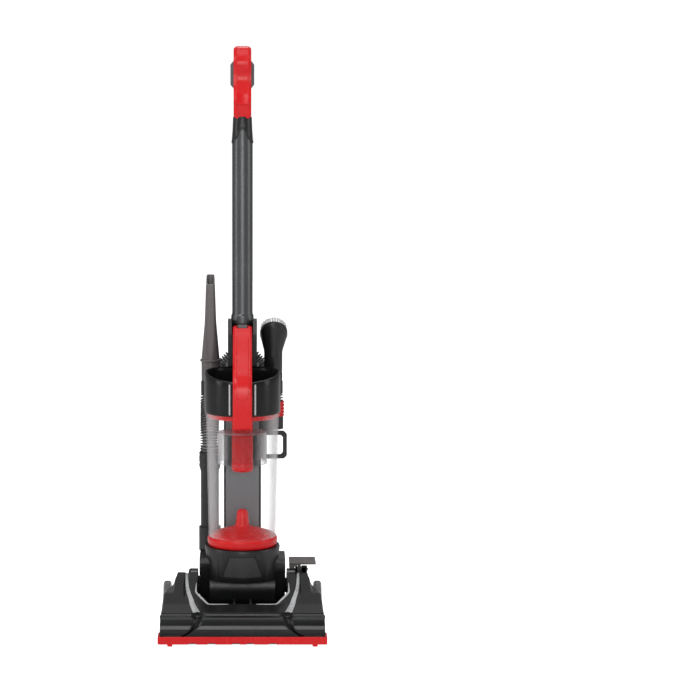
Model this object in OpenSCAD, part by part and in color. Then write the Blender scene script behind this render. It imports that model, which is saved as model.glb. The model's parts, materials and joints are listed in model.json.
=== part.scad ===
// Compact upright vacuum cleaner: floor head, reclining motor body, lift-out dust bin,
// hose and wand, two stored tools and a tube handle with a loop grip.
// X is to the right, the front faces -Y, Z is up. The origin is on the floor, under the middle.

/* [Floor head] */
// Overall width of the floor head
foot_w = 305; // [300:1:312]
// Distance from the origin to the front of the floor head
foot_front = 150; // [150:1:154]
// Height of the ridge along the nose
ridge_z = 56; // [55:1:58]
// Height of the two rear humps
hump_z = 86; // [84:1:88]
// Inner face of the two rear legs
leg_in = 85; // [85:1:86]
// Wall thickness of the moulded covers
wall = 3; // [2.6:0.2:3.2]
// Radius of a rear wheel with its tyre
wheel_r = 29; // [28:0.5:30]
// Radius of the brush roll's wooden core
roll_r = 14; // [13:0.5:15]
// Radius that the bristle tips sweep
bristle_r = 22.5; // [21:0.5:22.5]

/* [Motor body] */
// Place of the recline pivot, measured backwards
pivot_y = 85; // [84:1:86]
// Height of the recline pivot
pivot_z = 58; // [57:1:59]
// Outer radius of the round motor chamber
drum_r = 43; // [42:0.5:43]
// Outer radius of the motor can
can_r = 38; // [36:0.5:38]
// Top of the motor housing, where the bin stands
deck_z = 143; // [143:1:144]
// Radius of the motor housing at its top
deck_r = 71; // [70:0.5:71.5]

/* [Dust bin] */
// Axis of the bin, measured backwards
bin_y = 60; // [59:0.5:60]
// Outer radius of the clear cup at its top
cup_r_top = 69; // [68:0.5:69]
// Outer radius of the clear cup at its bottom
cup_r_low = 64; // [63:0.5:65]
// Bottom of the clear cup
cup_z0 = 161; // [160:1:162]
// Top of the clear cup
cup_z1 = 396; // [395:1:397]
// Outer radius of the lid
lid_r = 71.4; // [71:0.2:71.6]
// Top of the lid's rim at the back
lid_z1 = 475; // [474:1:475]

/* [Handle] */
// Overall height
total_h = 1081; // [1076:1:1086]
// Outer radius of the handle tube
tube_r = 19.4; // [19:0.1:19.6]
// Place of the handle tube, measured backwards
tube_y = 105; // [105:0.5:106]
// Width of the loop grip
grip_w = 33.2; // [32:0.2:34]
// Width of the carrying handle
carry_w = 35.4; // [34:0.2:36]

/* [Hose and tools] */
// Outer radius of the hose
hose_r = 18.5; // [18:0.25:18.5]
// Outer radius of the rigid wand
wand_r = 17.5; // [17:0.25:17.5]
// Height of the top of the wand's flared end
wand_z1 = 307; // [306:1:308]
// Overall length of the crevice tool
crevice_l = 219; // [210:1:225]

/* [Hidden] */
$fn = 96;
fine = 32;
// Gap between faces that move past each other
slip = 0.4;
// Radial clearance of a running fit
fit = 0.05;
// Overlap that carries a cut cleanly through a face
cut = 1;

// Floor head
half_w = foot_w / 2;
hood_w = half_w - 3.5;
leg_out = 128;
leg_back = 132;
nose_back = -75;
recess_front_w = 61;
recess_corner_y = -20;
floor_z = 8;
floor_t = 3;
sole_z = 4;
floor_x = leg_out - 4;
roll_wall_y = -128;
boss_r = 20.5;
// Outer end of the recline bearings
bearing_x = 97;
// Half the width of the motor chamber
motor_x = 62;
// Brush roll and its belt
roll_y = -105;
roll_z = 26;
roof_z = 49;
belt_x = 112;
belt_w = 9;
belt_t = 1.6;
pulley_r = 7;
roll_pulley_r = 13;
shaft_r = 4;
// Recline bearings: the left one carries the air
air_trunnion_r = 18;
belt_trunnion_r = 14;
// Wheels and pedal
wheel_y = 121;
wheel_x0 = 137;
wheel_x1 = 152.5;
axle_r = 3.5;
axle_x0 = 104;
pedal_y = 98;
pedal_z = 92;
pedal_pin_z = pedal_z - 6;
pedal_pin_r = 2.5;
screw_r = 3;
// Motor body and the spine behind the bin
arm_x0 = 60;
arm_x1 = 81;
housing_z0 = 81;
housing_r_low = 64;
door_w_top = 24;
door_w_low = 36;
door_z0 = 92;
door_z1 = 131;
spine_y0 = 133;
spine_y1 = 141;
cover_y1 = 152;
spine_w = 32;
// Underside of the bin where it stands on the housing
door_foot = deck_z + slip;
// Neck, handle tube and grip
neck_z0 = 480;
neck_z1 = 566;
neck_w = 27.5;
tube_z0 = 486;
tube_z1 = 936;
// Height of the upper cord hook's axis
hook_z = 1029;
boss_y1 = 155;
// Power switch and its pins
switch_y = 150.5;
switch_z = 251;
switch_pin_r = 1.2;
// Places of the upright hose, the wand, the stored tools and their pegs
column = [60.5, 170];
cuff_r = 21;
// Shift that brings the middle of the whole depth to the origin
middle_y = (column[1] + cuff_r - foot_front) / 2;
wand_xy = [-63, 138];
crevice_xy = [-61, 130];
brush_xy = [59, 131];
tool_r = 17.5;
tool_z0 = 446;
// Bore of the sockets of both stored tools
socket_r = 15.2;
// Lean and place of the dusting brush's oval head
head_lean = 38;
head_y = 4;
head_z = 531;
peg_r = 13.5;
inlet_z = 355;

// Route of the hose, from the wand up over its rest and down to the cuff
hose_route = [
    [-63, 138, 307], [-63, 138, 322], [-63, 142, 342], [-63, 150, 364], [-63, 160, 386],
    [-63, 168, 408], [-60, 172, 430], [-52, 172, 447], [-40, 172, 462], [-27, 172, 476],
    [-14, 172, 488], [0, 172, 494], [14, 172, 488], [27, 172, 476], [40, 172, 462],
    [51, 172, 447], [58, 172, 432], [60, 171, 417], [60.5, 170, 402]];

// Corners of the recline profile of the side arms, as seen from the right
arm_outline = [
    [56, 58], [62, 42], [74, 32], [96, 32], [108, 42], [114, 58], [114, 112], [106, 120],
    [40, 120], [32, 112], [34, 96]];

function housing_r(z) =
    housing_r_low + (deck_r - housing_r_low) * (z - housing_z0) / (deck_z - housing_z0);
function ring_points(c, u, v, r, n) =
    [for (i = [0 : n - 1]) c + r * (cos(360 * i / n) * u + sin(360 * i / n) * v)];
function unit(a) = a / norm(a);
function heading(p, i) = unit(p[min(i + 1, len(p) - 1)] - p[max(i - 1, 0)]);

// A round shaft or hole along X, between two places
module x_rod(x0, x1, y, z, r) {
    translate([x0, y, z])
        rotate([0, 90, 0])
            cylinder(r = r, h = x1 - x0);
}

// A round shaft or hole along Y, between two places
module y_rod(y0, y1, x, z, r) {
    translate([x, y1, z])
        rotate([90, 0, 0])
            cylinder(r = r, h = y1 - y0);
}

// A plate whose outline is drawn in Y and Z, between two places along X
module side_plate(x0, x1, outline) {
    translate([x0, 0, 0])
        rotate([90, 0, 90])
            linear_extrude(x1 - x0)
                polygon(outline);
}

// A plate whose outline is drawn in X and Z, between two places along Y
module front_plate(y0, y1, outline) {
    translate([0, y1, 0])
        rotate([90, 0, 0])
            linear_extrude(y1 - y0)
                polygon(outline);
}

// Moves a part from the modelling frame, whose Y starts ahead of the middle
module placed() {
    translate([0, -middle_y, 0])
        children();
}

module both_sides() {
    children();
    mirror([1, 0, 0])
        children();
}

// A thin slab of the floor head at one place along Y, for hulls
module slab(x0, x1, y, z0, z1) {
    translate([x0, y - 0.05, z0])
        cube([x1 - x0, 0.1, z1 - z0]);
}

// Outer form of the floor head, shrunk by t on every covered face
module foot_form(t, z0) {
    hull() {
        slab(t - hood_w, hood_w - t, -foot_front + 3.5 + t, z0, 24 - t);
        slab(t - hood_w + 1, hood_w - 1 - t, -144 + t, z0, 40 - t);
        slab(t - hood_w + 3, hood_w - 3 - t, -127 + t, z0, ridge_z - t);
        slab(t - hood_w + 5, hood_w - 5 - t, nose_back - t, z0, ridge_z + 4 - t);
    }
    both_sides()
        hull() {
            slab(recess_front_w + t, hood_w - 5 - t, nose_back - t - 8, z0, ridge_z + 3.4 - t);
            slab(leg_in + t, hood_w - 10 - t, recess_corner_y, z0, ridge_z + 14 - t);
            slab(leg_in + t, leg_out + 2 - t, 70, z0, hump_z - t);
            slab(leg_in + t, leg_out - t, 112, z0, 76 - t);
            slab(leg_in + t, leg_out - t, leg_back - t, max(z0, 16), 40 - t);
        }
}

// Side profile of a rear leg, as seen from the right
leg_outline = [
    [nose_back, floor_z], [120, floor_z], [leg_back - 4, 18], [leg_back - 4, 38], [112, 70],
    [70, hump_z - 5], [recess_corner_y, ridge_z + 8], [nose_back, ridge_z - 2]];

// Walls and roof of the brush roll's channel, as seen from the right
roll_channel = [
    [roll_wall_y - 2, floor_z], [roll_wall_y - 2, 46], [roll_wall_y + 2, roof_z + 1.5],
    [nose_back - 3, roof_z + 1.5], [nose_back - 3, floor_z], [nose_back - 5, floor_z],
    [nose_back - 5, roof_z], [roll_wall_y + 2.6, roof_z], [roll_wall_y, 45.4],
    [roll_wall_y, floor_z]];

module foot_base() {
    color("#1c1d1d")
        difference() {
            union() {
                translate([-hood_w + 9, -143, floor_z])
                    cube([2 * hood_w - 18, 143 + nose_back, floor_t]);
                translate([-floor_x, nose_back - 5, floor_z])
                    cube([2 * floor_x, 198, floor_t]);
                side_plate(-floor_x, floor_x, roll_channel);
                // Low wall behind the motor body
                translate([-leg_in, 116, floor_z])
                    cube([2 * leg_in, 2, 14]);
                both_sides() {
                    side_plate(leg_in, leg_in + wall, leg_outline);
                    x_rod(leg_in, bearing_x, pivot_y, pivot_z, boss_r);
                    translate([leg_in, wheel_y - 9, 16])
                        cube([floor_x - leg_in, 16, 20]);
                }
                for (x = [92, 120])
                    translate([x, pedal_y - 10, floor_z])
                        cube([4, 16, pedal_z - floor_z]);
            }
            translate([-119, roll_wall_y, 0])
                cube([238, nose_back - 4 - roll_wall_y, 30]);
            translate([belt_x - 8, nose_back - 6, 10])
                cube([16, 8, 40]);
            translate([-116, nose_back - 6, 14])
                cube([26, 8, 26]);
            x_rod(-bearing_x - cut, -leg_in + cut, pivot_y, pivot_z, air_trunnion_r + fit);
            x_rod(leg_in - cut, bearing_x + cut, pivot_y, pivot_z, belt_trunnion_r + fit);
            x_rod(90, 126, pedal_y, pedal_pin_z, pedal_pin_r);
            both_sides()
                x_rod(axle_x0, leg_out, wheel_y, wheel_r, axle_r);
        }
}

// The hood leaves out the legs' inner walls, because the base has them
hood_relief = [
    [nose_back + 4, 0], [140, 0], [140, 30], [131, 38.5], [111.5, 73], [70, hump_z - 3.1],
    [recess_corner_y, ridge_z + 9.5], [nose_back + 4, ridge_z - 0.5]];

module foot_hood() {
    color("#232525")
        difference() {
            foot_form(0, floor_z);
            foot_form(wall, -5);
            translate([-leg_in, recess_corner_y, 0])
                cube([2 * leg_in, 200, 200]);
            // Room for the floor of the base
            translate([-floor_x - 0.2, nose_back - 5.2, 0])
                cube([2 * floor_x + 0.4, 199, floor_z + floor_t + 0.2]);
            both_sides() {
                x_rod(120, 140, wheel_y, wheel_r, 8);
                side_plate(leg_in - cut, leg_in + wall + slip, hood_relief);
            }
            translate([88, pedal_y - 14, 60])
                cube([38, 60, 60]);
        }
}

// Plan outline of the bright stripe on the right half of the hood
stripe_outline = [
    [70, -122], [84, -122], [97, -60], [106, 20], [108, 76], [102, 76], [99, 20], [90, -60]];
// Plan outline of the bright edge round the recess, right half
edge_outline = [
    [24, -77], [63, -77], [88, -22], [88, 20], [86.5, 20], [86.5, -21.5], [62, -75.2], [24, -75.2]];

module hood_trims() {
    color("#c9cbcc")
        intersection() {
            difference() {
                foot_form(-0.7, 30);
                foot_form(0, 25);
            }
            both_sides()
                linear_extrude(120) {
                    polygon(stripe_outline);
                    polygon(edge_outline);
                }
        }
}

module guard_strip() {
    notches = [-96, -62, -18, 8, 48];
    color("#bf1f22")
        difference() {
            union() {
                translate([-half_w, -foot_front, sole_z])
                    cube([foot_w, 3, 13.8]);
                both_sides() {
                    translate([hood_w + 0.2, -foot_front, sole_z])
                        cube([3.3, 34, 13.8]);
                    translate([126, -foot_front, 0])
                        cube([9, 8, 8]);
                }
            }
            for (x = notches)
                translate([x, -foot_front - cut, sole_z - cut])
                    cube([13, 3 + 2 * cut, 3.4]);
        }
}

// Places of the screws that hold the sole plate
sole_screws = [[-136, -137], [136, -137], [-136, -78], [136, -78]];

module sole_plate() {
    color("#2c2d2e")
        difference() {
            translate([-hood_w + 3, -foot_front + 4, sole_z])
                cube([2 * hood_w - 6, 84, floor_z - sole_z]);
            translate([-116, -132, 0])
                cube([232, 52, 20]);
            both_sides()
                translate([125, -foot_front + 3, 0])
                    cube([11, 6, 9]);
            for (p = sole_screws)
                translate([p[0], p[1], sole_z - cut])
                    cylinder(r = screw_r + fit, h = 6, $fn = fine);
        }
}

// Raised middle of the recess floor, with two ribs, over the front hinge of the air duct
module foot_duct() {
    color("#141515")
        difference() {
            union() {
                translate([-22, nose_back + 0.1, floor_z + floor_t])
                    cube([44, 44, 30]);
                for (x = [-17, 13])
                    translate([x, nose_back + 0.1, floor_z + floor_t])
                        cube([4, 36, 50]);
            }
            translate([-19, nose_back - cut, floor_z + floor_t - cut])
                cube([38, 42, 28]);
        }
}

module brush_bearings() {
    color("#3a3b3c")
        for (s = [-1, 1])
            difference() {
                translate([s * 121 - 2, roll_y - 12, floor_z + floor_t])
                    cube([4, 24, roll_z + 12 - floor_z - floor_t]);
                x_rod(s * 121 - 3, s * 121 + 3, roll_y, roll_z, 5 + fit);
            }
}

// Flat belt round the motor pulley and the brush roll: two arcs and two straight runs
module drive_belt() {
    span = [roll_y - pivot_y, roll_z - pivot_z];
    lean = atan2(span[1], span[0]);
    r0 = pulley_r + 0.3;
    r1 = roll_pulley_r + 0.3;
    run = norm(span);
    tilt = asin((r1 - r0) / run);
    color("#161616")
        translate([belt_x - belt_w / 2, pivot_y, pivot_z])
            rotate([90, 0, 90])
                rotate([0, 0, lean])
                    linear_extrude(belt_w)
                        difference() {
                            belt_outline(r0 + belt_t, r1 + belt_t, run, tilt);
                            belt_outline(r0, r1, run, tilt);
                        }
}

module belt_outline(ra, rb, run, tilt) {
    steps = 24;
    polygon(concat(
        [for (i = [0 : steps])
            let (a = 90 + tilt + (180 - 2 * tilt) * i / steps) ra * [cos(a), sin(a)]],
        [for (i = [0 : steps])
            let (a = 270 - tilt + (180 + 2 * tilt) * i / steps)
                [run, 0] + rb * [cos(a), sin(a)]]));
}

module wheel_axles() {
    color("#a8abad")
        both_sides()
            x_rod(axle_x0, wheel_x1 - 2, wheel_y, wheel_r, axle_r);
}

module pedal_pin() {
    color("#b5b7b8")
        x_rod(90, 126, pedal_y, pedal_pin_z, pedal_pin_r);
}

module pedal_spring() {
    color("#8c8f91")
        difference() {
            x_rod(101, 104, pedal_y, pedal_pin_z, 4);
            x_rod(100, 105, pedal_y, pedal_pin_z, pedal_pin_r);
        }
}

module trunnion_seal() {
    color("#101010")
        difference() {
            x_rod(-bearing_x - 3, -bearing_x, pivot_y, pivot_z, boss_r);
            x_rod(-bearing_x - 4, -bearing_x + cut, pivot_y, pivot_z, air_trunnion_r + slip);
        }
}

module foot_screws() {
    color("#9fa2a4")
        for (p = sole_screws)
            translate([p[0], p[1], 5])
                cylinder(r = screw_r, h = 3, $fn = fine);
}

module brush_roll() {
    color("#b08a5a")
        union() {
            x_rod(-117, 104, roll_y, roll_z, roll_r);
            x_rod(104, 106.5, roll_y, roll_z, 15);
            x_rod(106.5, 117.5, roll_y, roll_z, roll_pulley_r);
            x_rod(-123, 123, roll_y, roll_z, 5);
        }
}

// Two helical rows of tufts, half a turn apart
module roll_bristles() {
    rows = 2;
    tufts = 22;
    pitch = 9.8;
    twist = 14;
    color("#17181a")
        for (k = [0 : rows - 1])
            for (i = [0 : tufts - 1])
                translate([-106 + pitch * i, roll_y, roll_z])
                    rotate([k * 180 + twist * i, 0, 0])
                        translate([0, 0, roll_r - 2])
                            cylinder(r = 2.4, h = bristle_r - roll_r + 2, $fn = 8);
}

module wheel(s) {
    color("#d3d4d4")
        difference() {
            x_rod(s > 0 ? wheel_x0 : -wheel_x1, s > 0 ? wheel_x1 : -wheel_x0,
                wheel_y, wheel_r, wheel_r - 3);
            x_rod(s * 145 - 12, s * 145 + 12, wheel_y, wheel_r, axle_r + fit);
            x_rod(s * wheel_x1 - 3, s * wheel_x1 + 3, wheel_y, wheel_r, 16);
        }
}

module tyre(s) {
    color("#1b1b1c")
        difference() {
            x_rod(s > 0 ? wheel_x0 + 2 : -wheel_x1 + 2, s > 0 ? wheel_x1 - 2 : -wheel_x0 - 2,
                wheel_y, wheel_r, wheel_r);
            x_rod(s * 145 - 12, s * 145 + 12, wheel_y, wheel_r, wheel_r - 3);
        }
}

module wheel_left() wheel(-1);
module wheel_right() wheel(1);
module tyre_left() tyre(-1);
module tyre_right() tyre(1);

module recline_pedal() {
    lever = [
        [pedal_y - 5, pedal_z - 6], [pedal_y, pedal_z - 11], [pedal_y + 5, pedal_z - 6],
        [pedal_y + 14, pedal_z + 4], [pedal_y + 14, pedal_z + 8], [pedal_y - 5, pedal_z + 8]];
    color("#6f6a69")
        difference() {
            union() {
                side_plate(106, 112, lever);
                translate([91, pedal_y - 8, pedal_z + 4])
                    cube([50, 52, 5]);
            }
            x_rod(100, 118, pedal_y, pedal_pin_z, pedal_pin_r + fit);
        }
}

module motor_housing() {
    color("#262728")
        difference() {
            union() {
                translate([0, bin_y, 0])
                    rotate_extrude()
                        polygon([
                            [0, housing_z0], [housing_r_low, housing_z0], [deck_r, deck_z - 3],
                            [deck_r - 1, deck_z], [0, deck_z]]);
                x_rod(-motor_x, motor_x, pivot_y, pivot_z, drum_r);
                translate([-spine_w, 110, 100])
                    cube([2 * spine_w, spine_y1 - 110, deck_z - 100]);
                both_sides()
                    side_plate(arm_x0, arm_x1, arm_outline);
                x_rod(-bearing_x, -arm_x0, pivot_y, pivot_z, air_trunnion_r);
                x_rod(arm_x0, bearing_x, pivot_y, pivot_z, belt_trunnion_r);
            }
            // Room for the motor, and the filter chamber above it
            x_rod(-motor_x + wall, motor_x - wall, pivot_y, pivot_z, drum_r - wall);
            intersection() {
                translate([0, bin_y, 0])
                    rotate_extrude()
                        polygon([
                            [0, 84], [housing_r_low - wall, 84], [deck_r - wall - 1, deck_z - 3],
                            [0, deck_z - 3]]);
                translate([-58, -20, 84])
                    cube([116, 140, deck_z - 87]);
            }
            // Air way into the motor body, and the shaft hole to the belt
            x_rod(-bearing_x - cut, -motor_x, pivot_y, pivot_z, air_trunnion_r - wall);
            x_rod(50, bearing_x + cut, pivot_y, pivot_z, shaft_r + 1);
            // Duct from the spine
            translate([-20, 118, 104])
                cube([40, 18, 60]);
            // Window of the filter door
            front_plate(-20, 30, [
                [-door_w_low, door_z0], [door_w_low, door_z0],
                [door_w_top, door_z1], [-door_w_top, door_z1]]);
            // Exhaust slots in the sides
            for (i = [0 : 4])
                translate([-90, 44 + 9 * i, 96])
                    cube([180, 4, 14]);
        }
}

module filter_door() {
    inset = slip;
    color("#5a5b5c")
        intersection() {
            translate([0, bin_y, 0])
                rotate_extrude()
                    polygon([
                        [housing_r(door_z0) - 4, door_z0], [housing_r(door_z0) + 1, door_z0],
                        [housing_r(door_z1) + 1, door_z1], [housing_r(door_z1) - 4, door_z1]]);
            front_plate(-20, 40, [
                [-door_w_low + inset, door_z0 + inset], [door_w_low - inset, door_z0 + inset],
                [door_w_top - inset, door_z1 - inset], [-door_w_top + inset, door_z1 - inset]]);
        }
}

module post_filter() {
    color("#4a4c4e")
        translate([-30, 12, 94])
            cube([60, 14, 34]);
}

module motor_can() {
    color("#b9bcbf")
        difference() {
            x_rod(-40, 46, pivot_y, pivot_z, can_r);
            x_rod(-37, 43, pivot_y, pivot_z, can_r - 2);
            x_rod(-60, 60, pivot_y, pivot_z, shaft_r + fit);
        }
}

module motor_mounts() {
    color("#151515")
        for (x = [-34, 34])
            difference() {
                x_rod(x, x + 6, pivot_y, pivot_z, drum_r - wall);
                x_rod(x - cut, x + 6 + cut, pivot_y, pivot_z, can_r);
            }
}

module motor_rotor() {
    color("#8f6a3c") {
        x_rod(-58, 118, pivot_y, pivot_z, shaft_r);
        x_rod(-28, 30, pivot_y, pivot_z, 24);
    }
}

module fan_impeller() {
    blades = 9;
    color("#d8d9da")
        difference() {
            union() {
                x_rod(-57, -55, pivot_y, pivot_z, 34);
                x_rod(-55, -45, pivot_y, pivot_z, 9);
                for (i = [0 : blades - 1])
                    translate([-55, pivot_y, pivot_z])
                        rotate([360 / blades * i, 0, 0])
                            translate([0, 7, -1])
                                cube([9, 25, 2]);
            }
            x_rod(-60, -40, pivot_y, pivot_z, shaft_r);
        }
}

module drive_pulley() {
    color("#9da0a2")
        difference() {
            union() {
                x_rod(106, 118, pivot_y, pivot_z, pulley_r);
                x_rod(104.5, 106, pivot_y, pivot_z, 9);
            }
            x_rod(100, 120, pivot_y, pivot_z, shaft_r);
        }
}

module spine_frame() {
    color("#8d8f92")
        difference() {
            translate([-spine_w, spine_y0, deck_z])
                cube([2 * spine_w, spine_y1 - spine_y0, neck_z0 - deck_z]);
            translate([-spine_w + wall, spine_y0 + wall, deck_z - cut])
                cube([2 * (spine_w - wall), 20, neck_z0 - deck_z - 8]);
            y_rod(spine_y0 - cut, spine_y1, 0, inlet_z, 13);
            translate([-16, spine_y0 - cut, 404])
                cube([32, 10, 14]);
        }
}

module rear_cover() {
    color("#202122")
        difference() {
            translate([-spine_w - 4, spine_y1, 104])
                cube([2 * spine_w + 8, cover_y1 - spine_y1, neck_z0 - 104]);
            translate([-spine_w - 1.5, spine_y1 - cut, deck_z + 2])
                cube([2 * spine_w + 3, cover_y1 - spine_y1 - wall + cut, neck_z0 - deck_z - 6]);
            // Way in from the elbow
            translate([spine_w, spine_y1 + 2, 352])
                cube([10, 6, 14]);
            // Seat of the power switch
            translate([-8.5, cover_y1 - 8, 238])
                cube([17, 20, 26]);
            x_rod(-10.5, 10.5, switch_y, switch_z, switch_pin_r + fit);
            // Hole for the cord gland
            y_rod(spine_y1, cover_y1 + cut, 18, 190, 5);
            for (i = [0 : 5])
                translate([-22, cover_y1 - 8, 286 + 7 * i])
                    cube([44, 20, 3]);
        }
}

module wand_port() {
    color("#1a1b1b")
        difference() {
            union() {
                translate([wand_xy[0], wand_xy[1], 116])
                    cylinder(r = 21, h = 46);
                translate([-81, 112, 116])
                    cube([24, 26, 4]);
                translate([-58, 116, 120])
                    cube([22, 22, 22]);
                translate([-40, 128, 120])
                    cube([40 - spine_w, 12, 22]);
            }
            translate([wand_xy[0], wand_xy[1], 120])
                cylinder(r = wand_r + slip, h = 50);
            translate([-100, 100, 116 - cut])
                cube([70, 14.4, 30]);
            translate([0, bin_y, 100])
                cylinder(r = deck_r + slip, h = 60);
        }
}

module inlet_elbow() {
    color("#17181a")
        difference() {
            union() {
                translate([column[0], column[1], 348])
                    cylinder(r = 19, h = 25);
                translate([spine_w + 4, spine_y1, 348])
                    cube([column[0] - spine_w - 4, 34, 22]);
            }
            translate([column[0], column[1], 352])
                cylinder(r = 15.5, h = 30);
            translate([spine_w + 3, spine_y1 + 2, 352])
                cube([column[0] - spine_w - 3, 28, 14]);
        }
}

module hose_cuff() {
    color("#d8282b")
        difference() {
            translate([column[0], column[1], 373])
                cylinder(r = cuff_r, h = 29);
            translate([column[0], column[1], 373 - cut])
                cylinder(r = 15.5, h = 40);
        }
}

// Hose swept along its route with ten sides
module hose() {
    sides = 10;
    n = len(hose_route);
    rings = [for (i = [0 : n - 1])
        let (d = heading(hose_route, i))
        let (u = unit(cross([0, 1, 0], d)))
        ring_points(hose_route[i], u, cross(d, u), hose_r, sides)];
    flat = [for (i = [0 : n - 1], k = [0 : sides - 1])
        i == 0 || i == n - 1
            ? [rings[i][k][0], rings[i][k][1], hose_route[i][2]]
            : rings[i][k]];
    color("#2b2c2d")
        polyhedron(flat, concat(
            [[for (k = [0 : sides - 1]) sides - 1 - k]],
            [for (i = [0 : n - 2], k = [0 : sides - 1])
                [i * sides + k, i * sides + (k + 1) % sides,
                    (i + 1) * sides + (k + 1) % sides, (i + 1) * sides + k]],
            [[for (k = [0 : sides - 1]) (n - 1) * sides + k]]));
}

// Shelf behind the neck that the top of the hose lies on, falling away to both sides under it
module hose_rest() {
    top = 473.5;
    fall = 38;
    color("#1a1b1b")
        difference() {
            side_plate(-11, 11, [
                [cover_y1, 444], [cover_y1 + 8, 446], [188, 460], [188, top], [cover_y1, top]]);
            both_sides()
                translate([0, cover_y1 - cut, top])
                    rotate([0, fall, 0])
                        cube([30, 50, 20]);
        }
}

module cord_hook_lower() {
    outline = [[36, 293], [80, 293], [86, 299], [86, 341], [80, 347], [36, 347]];
    opening = [[44, 301], [74, 301], [78, 305], [78, 335], [74, 339], [44, 339]];
    color("#121313")
        difference() {
            front_plate(142, 151, outline);
            front_plate(141, 152, opening);
        }
}

module cord_gland() {
    color("#111212")
        difference() {
            union() {
                y_rod(spine_y1 + 3, cover_y1, 18, 190, 5);
                y_rod(cover_y1, cover_y1 + 9, 18, 190, 7);
            }
            y_rod(spine_y1, cover_y1 + 20, 18, 190, 3.2);
        }
}

module tool_pegs() {
    color("#161717")
        for (p = [crevice_xy, brush_xy]) {
            side = p[0] > 0 ? 1 : -1;
            translate([p[0], p[1], 422])
                cylinder(r = 18.5, h = 23.5);
            translate([p[0], p[1], 445])
                cylinder(r1 = peg_r, r2 = peg_r - 1, h = 28);
            difference() {
                translate([side > 0 ? spine_w : p[0], spine_y0, 424])
                    cube([abs(p[0]) - spine_w, spine_y1 - spine_y0, 18]);
                translate([p[0], p[1], 420])
                    cylinder(r = 10, h = 40);
            }
        }
}

module neck_bracket() {
    color("#191a1b")
        difference() {
            union() {
                for (s = [-1, 1])
                    side_plate(s > 0 ? 19.6 : -neck_w, s > 0 ? neck_w : -19.6, [
                        [80, neck_z0], [cover_y1, neck_z0], [cover_y1, 492], [136, 540],
                        [132, neck_z1], [78, neck_z1], [74, neck_z1 - 4], [74, 540]]);
                translate([-neck_w, tube_y - 21, neck_z0])
                    cube([2 * neck_w, 48, 60]);
                translate([-neck_w, tube_y + 20, neck_z0])
                    cube([2 * neck_w, 7, neck_z1 - neck_z0 - 3]);
                translate([-neck_w, tube_y + 20, neck_z0])
                    cube([2 * neck_w, cover_y1 - tube_y - 20, 10]);
            }
            translate([0, tube_y, tube_z0])
                cylinder(r = tube_r, h = 100);
            translate([0, tube_y, 557])
                cylinder(r = tube_r + 2.2, h = 30);
        }
}

module handle_tube() {
    color("#4b4c4e")
        translate([0, tube_y, 0])
            rotate_extrude()
                polygon([
                    [tube_r - 1.6, tube_z0], [tube_r, tube_z0], [tube_r, 557],
                    [tube_r + 2, 559], [tube_r + 2, 574], [tube_r, 580], [tube_r, 900],
                    [16.4, 906], [16.4, tube_z1], [14.8, tube_z1], [14.8, 905],
                    [tube_r - 1.6, 899]]);
}

module grip_sleeve() {
    color("#141414")
        translate([0, tube_y, 0])
            rotate_extrude()
                polygon([
                    [16.4, 906], [tube_r, 900], [tube_r + 0.8, 899], [tube_r + 0.8, 904],
                    [17.6, 948], [0, 948], [0, tube_z1], [16.4, tube_z1]]);
}

// Loop grip, drawn from the side: the outer form less the finger opening
module grip_handle() {
    color("#d22528")
        difference() {
            union() {
                translate([-grip_w / 2, 0, 0])
                    rotate([90, 0, 90])
                        linear_extrude(grip_w)
                            difference() {
                                hull() {
                                    translate([tube_y - 16, 948])
                                        square([32, 4]);
                                    translate([112, total_h - 29])
                                        circle(r = 29, $fn = fine);
                                    translate([133, total_h - 38])
                                        circle(r = 20, $fn = fine);
                                }
                                hull() {
                                    translate([108, 985])
                                        circle(r = 7, $fn = fine);
                                    translate([113, total_h - 36])
                                        circle(r = 14, $fn = fine);
                                    translate([130, total_h - 40])
                                        circle(r = 11, $fn = fine);
                                }
                            }
                y_rod(141, boss_y1, 0, hook_z, 8);
            }
            y_rod(140, boss_y1 + cut, 0, hook_z, 4 + fit);
        }
}

module cord_hook_upper() {
    plate = [
        [-22.9, 1010], [-13, 998], [13, 998], [22.5, 1010], [22.5, 1048], [13, 1060],
        [-13, 1060], [-22.9, 1048]];
    color("#6d6f71") {
        front_plate(boss_y1 + 3.5, boss_y1 + 8.5, plate);
        y_rod(boss_y1 + slip, boss_y1 + 3.5, 0, hook_z, 8);
        y_rod(142, boss_y1 + 3.5, 0, hook_z, 4);
    }
}

module body_screws() {
    heights = [160, 225, 375, 440];
    color("#9fa2a4")
        for (z = heights)
            y_rod(cover_y1, cover_y1 + 1.5, -24, z, screw_r);
}

module power_switch() {
    color("#0f0f10") {
        translate([-7.5, cover_y1 - 5, 240])
            cube([15, 7, 22]);
        x_rod(-10, 10, switch_y, switch_z, switch_pin_r);
    }
}

module bin_cup() {
    color([0.92, 0.93, 0.94, 0.35])
        difference() {
            translate([0, bin_y, 0])
                rotate_extrude()
                    polygon([
                        [cup_r_low - 2.4, cup_z0], [cup_r_low, cup_z0], [cup_r_top, cup_z1],
                        [cup_r_top - 2.4, cup_z1]]);
            y_rod(bin_y + 50, bin_y + 90, 0, inlet_z, 13);
        }
}

module bin_lid() {
    slope = 12.7;
    color("#2a2b2c")
        difference() {
            translate([0, bin_y, 0])
                rotate_extrude()
                    polygon([
                        [0, 424], [60, 424], [62, cup_z1], [lid_r, cup_z1], [lid_r, lid_z1 - 3],
                        [lid_r - 2.5, lid_z1], [lid_r - 4.5, lid_z1], [64.8, lid_z1 - 3],
                        [63.5, 428], [0, 428]]);
            translate([-100, bin_y, lid_z1])
                rotate([slope, 0, 0])
                    translate([0, -200, 0])
                        cube([200, 200, 60]);
            // Way out for the cleaned air
            translate([-16, bin_y + 55, 404])
                cube([32, 20, 14]);
        }
}

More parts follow.
